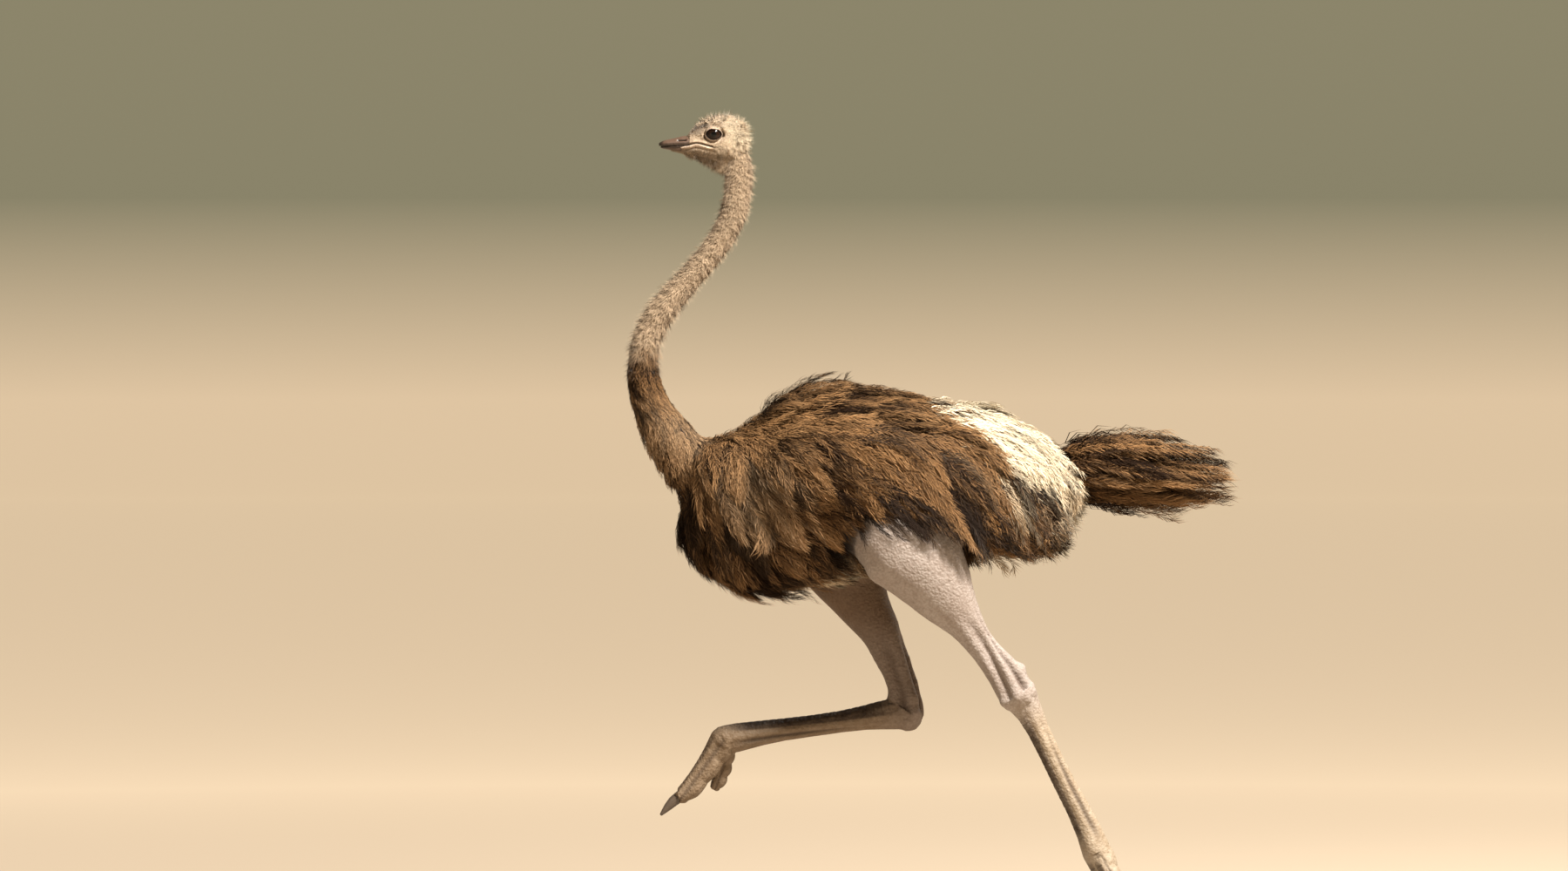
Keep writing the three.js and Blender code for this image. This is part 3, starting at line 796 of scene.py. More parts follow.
def markings(points):
    """How pale, how grey and how dark the bird is at each point, from 0 to 1; the dark share is partly
    painted shade.
    """
    x, z = points[:, 0], points[:, 2]
    ragged = 0.5 * waves(points, 0.05, 3) + 0.5 * waves(points, 0.018, 4)
    shift = 0.014 * ragged
    # pale: a strip along the back, a patch and streaks on the rump, its rim, and the belly's edge
    strip = smooth_step(-0.006, 0.006, z + shift - 1.215 + 0.44 * np.clip(x, 0, 0.11))
    strip = strip * smooth_step(-0.020, 0.004, x + shift)
    patch = smooth_step(1.12, 0.85, np.hypot((x - 0.205) / 0.098, (z - 1.125) / 0.070) + 0.22 * ragged)
    patch = patch * np.clip(0.86 + 0.30 * ragged, 0, 1)
    along = np.clip((1.10 - z) / 0.15, 0, 1)
    streak = bump(x, 0.250 + 0.03 * along, 0.034) * smooth_step(0.94, 0.99, z) * smooth_step(1.14, 1.09, z)
    lines = smooth_step(0.15, 0.6, waves(points * (1.0, 1.0, 0.5), 0.028, 5))
    soft = 0.55 * lines * bump(z, 1.035, 0.065) * bump(x, 0.170, 0.080)
    rim = 0.72 * bump(x, 0.262 - 0.35 * (z - 0.93) ** 2, 0.016) * bump(z, 0.925, 0.055)
    under = 0.75 * bump(x, -0.245, 0.075) * bump(z, 0.825, 0.040) * smooth_step(-0.4, 0.2, ragged)
    under = np.maximum(under, 0.8 * bump(x, 0.11, 0.08) * smooth_step(0.905, 0.880, z))
    pale = np.maximum.reduce([strip, patch, streak * (0.75 + 0.35 * ragged), soft, rim, under])
    pale = np.clip(pale, 0, 1) * smooth_step(0.325, 0.295, x)
    behind_eye = smooth_step(EYE[0] - 0.010, EYE[0] + 0.030, x)
    pale = np.maximum(pale, (0.20 + 0.46 * behind_eye) * smooth_step(1.80, 1.86, z))
    # grey: the down of the neck, the fluff before the wing and the base of the neck
    throat = smooth_step(1.325, 1.395, z + 0.02 * ragged)
    fluff = 0.52 * bump(x, -0.435, 0.085) * bump(z, 1.01, 0.085) * (0.8 + 0.35 * ragged)
    base = 0.30 * bump(z, 1.17, 0.08) * smooth_step(-0.52, -0.60, x)
    grey = np.clip(np.maximum.reduce([throat, fluff, base]), 0, 1)
    # dark: painted shade under the breast, low on the chest, under the chin, before the thigh between breast
    # and wing, and low on the flank behind it; the face, the lower neck, a tuft on the back and the tail are
    # darker in their own colour
    breast = smooth_step(-0.25, -0.34, x) * smooth_step(0.975, 0.915, z)
    chest = smooth_step(-0.53, -0.59, x) * smooth_step(1.06, 0.97, z)
    face = smooth_step(EYE[0] - 0.014, EYE[0] - 0.040, x) * smooth_step(1.80, 1.84, z)
    chin = smooth_step(EYE[2] - 0.030, EYE[2] - 0.050, z) * smooth_step(1.765, 1.80, z)
    chin = chin * smooth_step(-0.50, -0.53, x)
    neck = smooth_step(1.37, 1.32, z) * smooth_step(1.20, 1.28, z)
    cleft = bump(x, -0.255, 0.052) * smooth_step(1.08, 1.01, z)
    tuft = bump(x, -0.420, 0.028) * smooth_step(1.205, 1.225, z)
    shade = smooth_step(1.02, 0.93, z) * smooth_step(-0.25, -0.15, x)
    tail = smooth_step(0.265, 0.32, x)
    dark = np.maximum.reduce([
        0.75 * face, 0.65 * chin, 0.5 * neck, 0.9 * breast, 0.7 * chest,
        1.4 * cleft, 1.4 * tuft, 0.75 * shade, 0.84 * tail,
    ])
    dark = np.clip(dark + 0.25 * ragged, 0, 1.3) * (1 - pale)
    return pale, grey * (1 - np.clip(cleft, 0, 1)), dark


def unwrap(surface, points):
    """The skin's own unwrap: along the bird's spine, and round it."""
    x, y, z = points.T
    on_neck = smooth_step(1.10, 1.20, z) * smooth_step(-0.40, -0.50, x)
    axis_x = surface.neck_x(z)
    body = np.stack([x, np.arctan2(y, z - 1.05) / math.pi], axis=1)
    neck = np.stack([TRUNK_LOW[0] - (z - 1.10), np.arctan2(y, axis_x - x) / math.pi], axis=1)
    return body * (1 - on_neck)[:, None] + neck * on_neck[:, None]


def grow(surface, roots, normals, length, lift, low, high, pull, yaw, follow, count=6):
    """Feather shafts that leave the skin at each root, lie along it and hang a little.

    low and high are the least and the most that they stand off the skin at their tips."""
    def turn(direction, normal, angle):
        cosine, sine = np.cos(angle)[:, None], np.sin(angle)[:, None]
        return direction * cosine + np.cross(normal, direction) * sine

    along = lie(surface, roots)
    along = unit(along - normals * (along * normals).sum(axis=1)[:, None])
    heading = turn(along, normals, yaw)
    heading = unit(heading * np.cos(lift)[:, None] + normals * np.sin(lift)[:, None])
    place = roots - normals * 0.002
    paths, outward, parts = [place], [normals], [np.zeros(len(roots), int)]
    step = (length / (count - 1))[:, None]
    for k in range(1, count):
        share = k / (count - 1)
        wanted = turn(lie(surface, place), outward[-1], yaw)
        hang = np.array([0, 0, -1.0]) * (pull * share)[:, None]
        heading = unit(heading + (wanted - heading) * follow[:, None] + hang)
        place = place + heading * step
        under, normal, part = surface.under(place)
        height = ((place - under) * normal).sum(axis=1)
        kept = np.clip(height, low * min(1, share * 1.6), high)
        place = place + normal * (kept - height)[:, None]
        heading = unit(place - paths[-1])
        paths.append(place)
        outward.append(unit(normal * 0.6 + outward[-1] * 0.4))
        parts.append(part)
    return np.stack(paths, axis=1), np.stack(outward, axis=1), np.stack(parts, axis=1)


def gather(paths, outward, size, strength, seed, relief=0.022, at=0):
    """Draws feathers that grow near each other together towards their tips, into locks that
    stand off the body by different heights."""
    spots = paths[:, at]
    wobble = np.stack([waves(spots, size * 2.2, seed + k) for k in range(3)], axis=1) * size * 0.6
    cells = np.floor((spots + wobble) / size).astype(np.int64)
    lock = np.unique(cells, axis=0, return_inverse=True)[1].ravel()
    number = np.bincount(lock)
    mean = np.zeros((len(number), *paths.shape[1:]))
    np.add.at(mean, lock, paths)
    mean /= number[:, None, None]
    share = np.linspace(0, 1, paths.shape[1])[None, :, None] ** 1.5
    raised = np.random.default_rng(seed + 9).uniform(-0.2, 1.0, len(number))[lock] ** 2 * relief
    paths = paths + (mean[lock] - paths) * share * strength
    return paths + outward * share * raised[:, None, None], lock


def ruffled(points):
    """Where the back's feathers stand up in ragged tufts, from 0 to 1."""
    x, y, z = points.T
    rows = sum(height * bump(x, place, 0.030) for place, height in
               ((-0.440, 1.0), (-0.385, 1.0), (-0.295, 0.45), (-0.185, 0.60)))
    return np.clip(rows, 0, 1) * smooth_step(0.13, 0.03, np.abs(y)) * smooth_step(1.14, 1.20, z)


# ------------------------------------------------------------------ coat: its feathers
PATCH = 0.003  # how much of the map each tuft takes up


class Bundle:
    """Collects many small meshes, with their values for each vertex, into one object."""

    def __init__(self, surface, roots, marks_at, tone):
        self.points, self.quads, self.triangles = [], [], []
        self.values = {name: [] for name in (*FEATHER_VALUES, "place_x", "place_y")}
        place = unwrap(surface, roots) if surface else roots[:, :2]
        low, high = place.min(axis=0), place.max(axis=0)
        self.homes = 0.01 + 0.98 * (place - low) / np.maximum(high - low, 1e-6)
        self.marks = markings(marks_at)
        self.tone = tone
        self.start = 0

    def add(self, points, quads, triangles, owner, along, fray, tone=0.0):
        """points (n, k, 3) with the same small faces for each of n pieces; owner is each one's feather."""
        number, size = points.shape[:2]
        offset = self.start + np.arange(number)[:, None, None] * size
        if len(quads):
            self.quads.append((offset + np.array(quads)[None]).reshape(-1, 4))
        if len(triangles):
            self.triangles.append((offset + np.array(triangles)[None]).reshape(-1, 3))
        self.points.append(points.reshape(-1, 3))
        spread = np.ones((number, size))
        values = self.values
        values["tone"].append(((self.tone[owner] + tone)[:, None] * spread).ravel())
        values["along"].append((along * spread).ravel())
        values["fray"].append((fray * spread).ravel())
        for name, mark in zip(MARKS, self.marks):
            values[name].append((mark[owner][:, None] * spread).ravel())
        home = self.homes[owner][:, None, :]
        local = np.stack([along * spread - 0.5, fray * spread - 0.5], axis=-1) * PATCH
        values["place_x"].append((home + local)[:, :, 0].ravel())
        values["place_y"].append((home + local)[:, :, 1].ravel())
        self.start += number * size

    def build(self, name):
        points = np.concatenate(self.points)
        faces = [np.concatenate(group) for group in (self.quads, self.triangles) if group]
        obj = mesh_object(name, points, faces)
        columns = {key: np.concatenate(parts) for key, parts in self.values.items()}
        for key in FEATHER_VALUES:
            add_values(obj, key, columns[key])
        corner = read_all(obj.data.loops, "vertex_index", kind=np.int32)
        chart = np.stack([columns["place_x"][corner], columns["place_y"][corner]], axis=1)
        layer = obj.data.uv_layers.new(name="OFBake")
        layer.uv.foreach_set("vector", chart.astype(np.float32).ravel())
        return obj


def along_path(paths, shares):
    """Points on each path at the given shares of it: paths (n, k, 3), shares (n, m)."""
    last = paths.shape[1] - 1
    spot = np.clip(shares * last, 0, last - 1e-6)
    index = spot.astype(int)
    part = (spot - index)[:, :, None]
    row = np.arange(len(paths))[:, None]
    start, end = paths[row, index], paths[row, index + 1]
    return start * (1 - part) + end * part, unit(end - start)


def add_shafts(bundle, paths, outward, width):
    """A narrow tapering strip down the middle of each feather."""
    count = paths.shape[1]
    ahead = unit(np.gradient(paths, axis=1))
    across = unit(np.cross(outward, ahead))
    taper = np.linspace(1, 0.25, count)[None, :, None] * width[:, None, None] / 2
    points = np.stack([paths + across * taper, paths - across * taper], axis=2)
    points = points.reshape(len(paths), count * 2, 3)
    quads = [(2 * k, 2 * k + 1, 2 * k + 3, 2 * k + 2) for k in range(count - 1)]
    along = np.repeat(np.linspace(0, 1, count), 2)[None]
    bundle.add(points, quads, [], np.arange(len(paths)), along, np.zeros((1, count * 2)))


def add_barbs(bundle, paths, outward, half_width, barbs, blade, rng, first=0.10, droop=0.18, lax=0.3):
    """Thin tapering clumps of barbs down both sides of each feather, laxer towards its tip."""
    number = len(paths)
    shares = (np.arange(barbs) + 0.5) / barbs * (1 - first) + first
    for side in (1.0, -1.0):
        share = np.clip(shares[None] + rng.normal(0, 0.25 / barbs, (number, barbs)), first * 0.5, 0.995)
        base, ahead = along_path(paths, share)
        up = unit(along_path(outward, share)[0])
        across = unit(np.cross(ahead, up)) * side
        up = unit(np.cross(across, ahead) * side)
        open_angle = 0.74 - 0.52 * share + rng.normal(0, 0.13, share.shape)
        size = half_width[:, None] * (1.75 - 0.70 * share) * rng.uniform(0.65, 1.25, share.shape)
        roll = rng.normal(0, lax, share.shape)
        sideways = across * np.cos(roll)[..., None] + up * np.sin(roll)[..., None]

        def towards(angle):
            return ahead * np.cos(angle)[..., None] + sideways * np.sin(angle)[..., None]

        middle_point = base + towards(open_angle) * (size * 0.48)[..., None]
        bend = open_angle * 0.30 + rng.normal(0, 0.14, share.shape)
        tip = middle_point + towards(bend) * (size * 0.60)[..., None]
        tip = tip - up * (size * droop)[..., None]
        half = (blade * (1.05 - 0.45 * share))[..., None] / 2
        edge = ahead * half
        lean = towards(open_angle)
        cross = unit(ahead - lean * (ahead * lean).sum(axis=-1)[..., None]) * half * 0.85
        points = np.stack([base - edge, base + edge, middle_point - cross, middle_point + cross, tip], axis=2)
        points = points.reshape(number * barbs, 5, 3)
        if side > 0:
            quads, triangles = [(0, 2, 3, 1)], [(2, 4, 3)]
        else:
            quads, triangles = [(0, 1, 3, 2)], [(2, 3, 4)]
        owner = np.repeat(np.arange(number), barbs)
        along = np.repeat(share.reshape(-1, 1), 5, axis=1)
        fray = np.array([[0, 0, 0.5, 0.5, 1.0]])
        tone = rng.normal(0, 0.34, number * barbs)
        bundle.add(points, quads, triangles, owner, along, np.repeat(fray, len(points), axis=0), tone)


def add_bristles(bundle, paths, outward, width, blades, fan, rng):
    """Small pointed tufts, a few blades each, for the short coat of head and neck."""
    number = len(paths)
    ahead = unit(paths[:, -1] - paths[:, 0])
    across = unit(np.cross(outward[:, 0], ahead))
    reach = np.linalg.norm(paths[:, -1] - paths[:, 0], axis=1)[:, None]
    centre = paths.shape[1] // 2
    for blade in range(blades):
        part = (blade + 0.5) / blades - 0.5
        spread = (part * 2 * fan + rng.normal(0, 0.10, number))[:, None]
        offset = across * (part * width * 1.6)
        middle_point = paths[:, centre] + offset + across * spread * reach * 0.4
        tip = paths[:, -1] + offset + across * spread * reach
        root = paths[:, 0] + offset
        half = across * width / 2
        waist = half * 0.8
        points = [root - half, root + half, middle_point - waist, middle_point + waist, tip]
        points = np.stack(points, axis=1)
        along = np.repeat(np.array([[0, 0, 0.5, 0.5, 1.0]]), number, axis=0)
        tone = rng.normal(0, 0.15, number)
        owner = np.arange(number)
        bundle.add(points, [(0, 1, 3, 2)], [(2, 3, 4)], owner, along, along * 0.5, tone)


def body_parts(parts):
    return is_part(parts, "trunk", "wing")


def opening_reach(places):
    """Distance outside the lids' opening, seen from the side."""
    dx, dz = places[:, 0] - EYE[0], places[:, 2] - EYE[2]
    return np.hypot(dx, dz) - lid_opening(np.arctan2(dz, dx))


def on_head(places, normals, parts):
    x, y, z = places.T
    face = opening_reach(places) > 0.0050
    rim = ~((x < EYE[0] - 0.004) & (z - gape_height(x) < 0.0075) & (z - gape_height(x) > -0.0085))
    lore = ~((x < EYE[0] - 0.016) & (np.abs(z - EYE[2] + 0.009) < 0.010) & (np.abs(y) > 0.006))
    behind = (x > BILL_ROOT_X + 0.006) | (z < MOUTH_Z - 0.005)
    return is_part(parts, "head", "ear") & face & rim & lore & behind


def on_neck(low, high):
    def region(places, normals, parts):
        x, z = places[:, 0], places[:, 2]
        throat = is_part(parts, "neck") | (is_part(parts, "trunk") & (x < -0.50) & (z > 1.14))
        ragged = z + 0.014 * waves(places, 0.022, 51)
        return throat & (ragged >= low) & (ragged < high)
    return region


def on_breast(places, normals, parts):
    return body_parts(parts) & (places[:, 0] < -0.40) & (normals[:, 2] > -0.85)


def on_back(places, normals, parts):
    x = places[:, 0]
    return body_parts(parts) & (x >= -0.40) & (x < 0.02) & (normals[:, 2] > 0.60)


def on_side(side):
    def region(places, normals, parts):
        x, y, z = places.T
        flank = (normals[:, 2] <= 0.60) & (normals[:, 2] > -0.72)
        flank &= ~((x > -0.330) & (x < 0.02) & (z < 1.055 - 0.12 * smooth_step(-0.30, -0.36, x)))
        return body_parts(parts) & (x >= -0.40) & (x < 0.06) & flank & (y * SIDES[side] > 0)
    return region


def on_rump(places, normals, parts):
    x, up = places[:, 0], normals[:, 2]
    start = np.where(up > 0.60, 0.02, 0.06)
    return body_parts(parts) & (x >= start) & (up > -0.72) & ~on_tail_base(places, normals, parts)


def on_tail_base(places, normals, parts):
    return body_parts(parts) & (places[:, 0] > 0.243) & (places[:, 2] > 1.00) & (places[:, 2] < 1.16)


def on_belly(places, normals, parts):
    x, up = places[:, 0], normals[:, 2]
    return body_parts(parts) & np.where(x < -0.40, up <= -0.85, up <= -0.72)


LASHES = 34  # on each upper lid


def lash_piece():
    """Dark lashes along each upper lid."""
    rng = np.random.default_rng(77)
    number = LASHES * 2
    angle = np.concatenate([np.linspace(0.25, 2.95, LASHES)] * 2) + rng.normal(0, 0.03, number)
    sign = np.repeat([-1.0, 1.0], LASHES)
    level = np.zeros(number)
    reach = lid_opening(angle) + 0.0006
    radial = np.stack([np.cos(angle), level, np.sin(angle)], axis=1)
    roots = radial * reach[:, None] + EYE * (1, 0, 1)
    roots[:, 1] = sign * (EYE[1] + np.sqrt((EYE_RADIUS + 0.0008) ** 2 - reach**2))
    side = np.stack([level, sign, level], axis=1)
    length = rng.uniform(0.0055, 0.0085, number)[:, None]
    first = unit(side * 0.95 - radial * 0.10 + rng.normal(0, 0.08, roots.shape))
    second = unit(side * 0.60 + radial * 0.65 + rng.normal(0, 0.08, roots.shape))
    half = length * 0.5
    paths = np.stack([roots, roots + first * half, roots + (first + second) * half], axis=1)
    outward = np.repeat(radial[:, None], 3, axis=1)
    bundle = Bundle(None, roots, roots, level)
    add_bristles(bundle, paths, outward, 0.0007, 1, 0.1, rng)
    return bundle.build("lashes")


SIDE_FEATHERS = ((0.0122, 0.110, 0.185), (0.023, 19, 0.0025), 0.22, (0.010, 0.036), 0.22)
NECK_BASE = on_neck(0.0, 1.34)
NECK_MIDDLE = on_neck(1.316, 1.5)  # laps a little over the feathers of the base
NECK_TOP = on_neck(1.5, 1.9)
FEATHERS = {
    # piece: region, (spacing, shortest, longest), (half width, barbs a side, blade), lift,
    # (least and most that it stands off the skin), pull of its weight
    "coat_neck_base": (NECK_BASE, (0.0068, 0.036, 0.058), (0.009, 8, 0.0021), 0.16, (0.003, 0.012), 0.1),
    "coat_breast": (on_breast, (0.0122, 0.105, 0.165), (0.023, 19, 0.0025), 0.26, (0.010, 0.038), 0.26),
    "coat_back": (on_back, (0.0120, 0.110, 0.180), (0.021, 19, 0.0025), 0.24, (0.010, 0.036), 0.10),
    "coat_side_left": (on_side("left"), *SIDE_FEATHERS),
    "coat_side_right": (on_side("right"), *SIDE_FEATHERS),
    "coat_rump": (on_rump, (0.0128, 0.110, 0.175), (0.022, 19, 0.0025), 0.22, (0.010, 0.034), 0.26),
    "coat_tail_base": (on_tail_base, (0.0105, 0.090, 0.150), (0.022, 18, 0.0026), 0.42, (0.012, 0.050), 0.10),
    "coat_belly": (on_belly, (0.0170, 0.050, 0.080), (0.014, 10, 0.0032), 0.12, (0.006, 0.020), 0.0),
}
DOWN = {
    # piece: region, (spacing, shortest, longest), (width, blades, fan), lift, stands off
    "coat_head": (on_head, (0.00165, 0.0055, 0.0095), (0.00060, 3, 0.40), 0.55, (0.0008, 0.0064)),
    "coat_neck_top": (NECK_TOP, (0.0021, 0.006, 0.011), (0.0008, 3, 0.5), 0.62, (0.0012, 0.008)),
    "coat_neck_middle": (NECK_MIDDLE, (0.0023, 0.008, 0.015), (0.0009, 3, 0.45), 0.52, (0.0018, 0.0085)),
}


LOOSE_SHARE = 0.12  # of the feathers stand a little away from the rest
SPIKE_SHARE = 0.16  # of the down are longer bristles


def feather_piece(surface, name, seed, scale):
    """Contour feathers of one region, in locks that lie over each other."""
    region, (spacing, short, long), (half, barbs, blade), lift, stand, pull = FEATHERS[name]
    rng = np.random.default_rng(seed)
    roots, normals = surface.scatter(region, spacing, seed)
    number = len(roots)
    clump = waves(roots, 0.11, 11)
    fine = waves(roots, 0.045, 12)
    length = rng.uniform(short, long, number) * (1 + 0.12 * clump) * scale
    yaw = 0.30 * waves(roots, 0.13, 13) + 0.22 * fine + rng.normal(0, 0.08, number)
    loose = (rng.random(number) < LOOSE_SHARE) * 1.0
    stood = ruffled(roots)
    # where the coat stands fuller: before the breast and over the top of the rump
    front = smooth_step(-0.49, -0.57, roots[:, 0]) * smooth_step(1.16, 1.08, roots[:, 2])
    front *= 0.30 + 0.70 * smooth_step(0.93, 1.03, roots[:, 2])
    corner = bump(roots[:, 0], -0.60, 0.06) * bump(roots[:, 2], 0.90, 0.07)
    top = smooth_step(-0.03, 0.05, roots[:, 0]) * smooth_step(0.25, 0.20, roots[:, 0])
    top = top * smooth_step(0.35, 0.75, normals[:, 2])
    raised = lift * (1 + 0.7 * fine) + rng.normal(0, 0.08, number)
    raised += 0.22 * loose + 0.28 * stood + 0.22 * front + 0.20 * top - 0.16 * corner
    high = stand[1] * (1 + 0.30 * clump + 0.25 * fine)
    high += 0.006 * loose + 0.016 * stood + 0.024 * front + 0.026 * top
    high -= 0.028 * bump(roots[:, 0], -0.245, 0.12) * smooth_step(0.4, 0.8, normals[:, 2])
    high = np.maximum(high - 0.016 * corner, stand[0] + 0.002)
    gravity = np.full(number, pull) + rng.normal(0, 0.03, number) - 0.1 * stood
    follow = 0.35 - 0.26 * stood
    bend = (gravity, yaw, follow)
    paths, outward, parts = grow(surface, roots, normals, length, raised, stand[0], high, *bend)
    size, strength, relief = (0.020, 0.45, 0.004) if name == "coat_neck_base" else (0.056, 0.72, 0.022)
    paths, lock = gather(paths, outward, size, strength, seed, relief)
    paths, outward = cut_paths(paths, outward, kept_share(paths, parts, roots))
    shade = (0.50 - rng.exponential(0.80, lock.max() + 1)[lock]) * min(1, size / 0.05)
    tone = 0.50 * clump + shade + rng.normal(0, 0.38, number)
    bundle = Bundle(surface, roots, paths[:, 3], tone)
    add_shafts(bundle, paths, outward, np.full(number, blade * 0.28))
    add_barbs(bundle, paths, outward, np.full(number, half), barbs, blade, rng)
    return bundle.build(name)


def down_piece(surface, name, seed):
    """Short bristly down of one region, with some longer bristles among it."""
    region, (spacing, short, long), (width, blades, fan), lift, stand = DOWN[name]
    rng = np.random.default_rng(seed)
    roots, normals = surface.scatter(region, spacing, seed)
    number = len(roots)
    fine = waves(roots, 0.012, 22)
    length = rng.uniform(short, long, number)
    if name == "coat_head":
        crown = smooth_step(EYE[2] + 0.004, EYE[2] + 0.028, roots[:, 2])
        nape = smooth_step(EAR[0] - 0.012, EAR[0] + 0.020, roots[:, 0])
        front = smooth_step(EYE[0] - 0.010, EYE[0] - 0.045, roots[:, 0])
        length = length * (0.80 + 0.30 * np.maximum(crown, nape)) * (1 - 0.30 * front)
    yaw = 0.22 * fine + rng.normal(0, 0.16, number)
    raised = lift * (1 + 0.25 * fine) + rng.normal(0, 0.16, number)
    high = np.full(number, stand[1])
    spike = (rng.random(number) < SPIKE_SHARE) * 1.0
    if name == "coat_head":
        chin = smooth_step(-0.35, -0.75, normals[:, 2])
        chin = chin * smooth_step(BILL_ROOT_X - 0.03, BILL_ROOT_X + 0.01, roots[:, 0])
        stood = np.maximum.reduce([crown, nape, 0.8 * chin])
        length *= 1 + 0.7 * chin
        length *= 0.55 + 0.45 * smooth_step(0.005, 0.013, opening_reach(roots))
        raised = raised * (0.55 + 1.35 * stood)
        high += 0.0100 * stood
        spike *= stood
    length *= 1 + 0.95 * spike
    raised += 0.35 * spike
    high += 0.008 * spike
    follow = np.full(number, 0.12)
    still = np.zeros(number)
    paths, outward = grow(surface, roots, normals, length, raised, stand[0], high, still, yaw, follow, 3)[:2]
    wide = 0.5 if name == "coat_head" else 0.2
    tone = 0.20 * fine + 0.35 - rng.exponential(0.55 - 0.40 * wide, number)
    bundle = Bundle(surface, roots, roots, tone)
    add_bristles(bundle, paths, outward, (width * (1 + wide * spike))[:, None], blades, fan, rng)
    return bundle.build(name)


def kept_share(paths, parts, roots):
    """How much of each feather stays, so that bare legs and the belly's line stay clear of it."""
    count = paths.shape[1]
    uneven = waves(roots, 0.05, 41)
    hems = [hem_line(node) for node in ("trunk", "wing_left", "wing_right")]
    bare = is_part(parts, "shank", "thigh")
    keep = np.ones(len(paths))
    for k in range(count - 1, 0, -1):
        x, z = paths[:, k, 0], paths[:, k, 2]
        lowest = np.minimum.reduce([np.interp(x, *hem, left=2, right=2) for hem in hems])
        beyond = (z < lowest - 0.004 + 0.010 * uneven) & (x > -0.6)  # below belly and wings
        beyond |= bare[:, k] & (z < 0.972 + 0.016 * uneven)  # over a bare thigh
        beyond |= (roots[:, 2] > 1.06) & (x < -0.612) & (z < 1.055 + 0.012 * uneven)  # off the neck
        beyond |= (z < 0.925) & (x < -0.612 + 0.5 * (0.925 - z) + 0.008 * uneven)  # before the breast
        keep = np.where(beyond, max(k - 0.45, 0.5) / (count - 1), keep)
    return keep


def hem_line(node):
    """The lowest edge of a wing, as heights over places along the bird."""
    points = node_points(node)
    places = np.linspace(points[:, 0].min() + 0.01, points[:, 0].max() - 0.01, 24)
    triangles = points[triangle_corners(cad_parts[node].data)]
    low, high = triangles[:, :, 0].min(axis=1), triangles[:, :, 0].max(axis=1)
    heights = []
    for place in places:
        heights.append(triangles[(low <= place) & (high >= place), :, 2].min())
    return places, np.array(heights)


def cut_paths(paths, outward, keep):
    """The same paths, each cut to a share of its length."""
    count = paths.shape[1]
    shares = np.linspace(0, 1, count)[None] * keep[:, None]
    return along_path(paths, shares)[0], unit(along_path(outward, shares)[0])


WIDEST = 0.240  # how far out from the middle a wing's plumes may reach


def wing_piece(surface, side, seed, scale):
    """Long soft plumes in overlapping rows, from the middle of the wing back and down to its hem."""
    rng = np.random.default_rng(seed)

    def region(places, normals, parts):
        x, y, z = places.T
        outer = (y * SIDES[side] > 0.05) & (normals[:, 1] * SIDES[side] > 0.1)
        band = (z > 1.00 + 0.05 * (x < -0.1)) & (z < 1.19) & (x > -0.27) & (x < 0.20)
        return body_parts(parts) & outer & band

    def tips(places, normals, parts):
        x, y, z = places.T
        band = (z > 1.030) & (z < 1.085) & (x > -0.255) & (x < -0.10)
        return body_parts(parts) & band & (y * SIDES[side] > 0.05)

    roots, normals = surface.scatter(region, 0.0128, seed)
    tip_roots, tip_normals = surface.scatter(tips, 0.0190, seed + 1)
    is_tip = np.repeat([0.0, 1.0], [len(roots), len(tip_roots)])
    roots, normals = np.concatenate([roots, tip_roots]), np.concatenate([normals, tip_normals])
    number = len(roots)
    rows = smooth_step(1.19, 1.00, roots[:, 2])
    length = rng.uniform(0.17, 0.27, number) * (1 + 0.25 * rows) * scale
    length = np.where(is_tip > 0, rng.uniform(0.165, 0.225, number), length)
    yaw = 0.30 * waves(roots, 0.16, 31) + rng.normal(0, 0.08, number)
    raised = 0.16 + rng.normal(0, 0.05, number)
    high = 0.038 + 0.012 * rng.random(number) + 0.018 * is_tip
    pull = 0.24 + rng.normal(0, 0.04, number) + 0.10 * is_tip
    follow = np.full(number, 0.25)
    paths, outward = grow(surface, roots, normals, length, raised, 0.016, high, pull, yaw, follow, 9)[:2]
    paths, lock = gather(paths, outward, 0.060, 0.72, seed, relief=0.022)
    paths[:, :, 1] = np.clip(paths[:, :, 1], -WIDEST, WIDEST)
    # each plume ends at the wing's ragged hem, and the tip plumes end above the thigh
    places, heights = hem_line("wing_" + side)
    keep = np.ones(number)
    for k in range(paths.shape[1] - 1, 1, -1):
        floor = np.interp(paths[:, k, 0], places, heights) + 0.012 + 0.02 * waves(roots, 0.05, 33)
        floor += 0.034 * bump(paths[:, k, 0], 0.0, 0.045)
        floor = np.where(is_tip > 0, 0.942, floor)
        beyond = (paths[:, k, 2] < floor) | (paths[:, k, 0] > places[-1] + 0.005)
        keep = np.where(beyond, (k - 0.5) / (paths.shape[1] - 1), keep)
    paths, outward = cut_paths(paths, outward, keep)
    shade = 0.50 - rng.exponential(0.80, lock.max() + 1)[lock]
    tone = 0.5 * waves(roots, 0.09, 34) + shade + rng.normal(0, 0.35, number) - 1.0 * is_tip
    end = paths[:, -1]
    hem = 1.2 * smooth_step(1.03, 0.985, end[:, 2]) * smooth_step(-0.28, -0.22, end[:, 0])
    tone -= hem * smooth_step(0.06, -0.02, end[:, 0])
    bundle = Bundle(surface, roots, paths[:, 6], tone)
    half = rng.uniform(0.022, 0.032, number) * (0.6 + 0.4 * keep)
    add_shafts(bundle, paths, outward, np.full(number, 0.0022))
    add_barbs(bundle, paths, outward, half, 30, 0.0027, rng, droop=0.22, lax=0.30)
    return bundle.build("plumes_" + side)


TAIL_PLUMES = 330


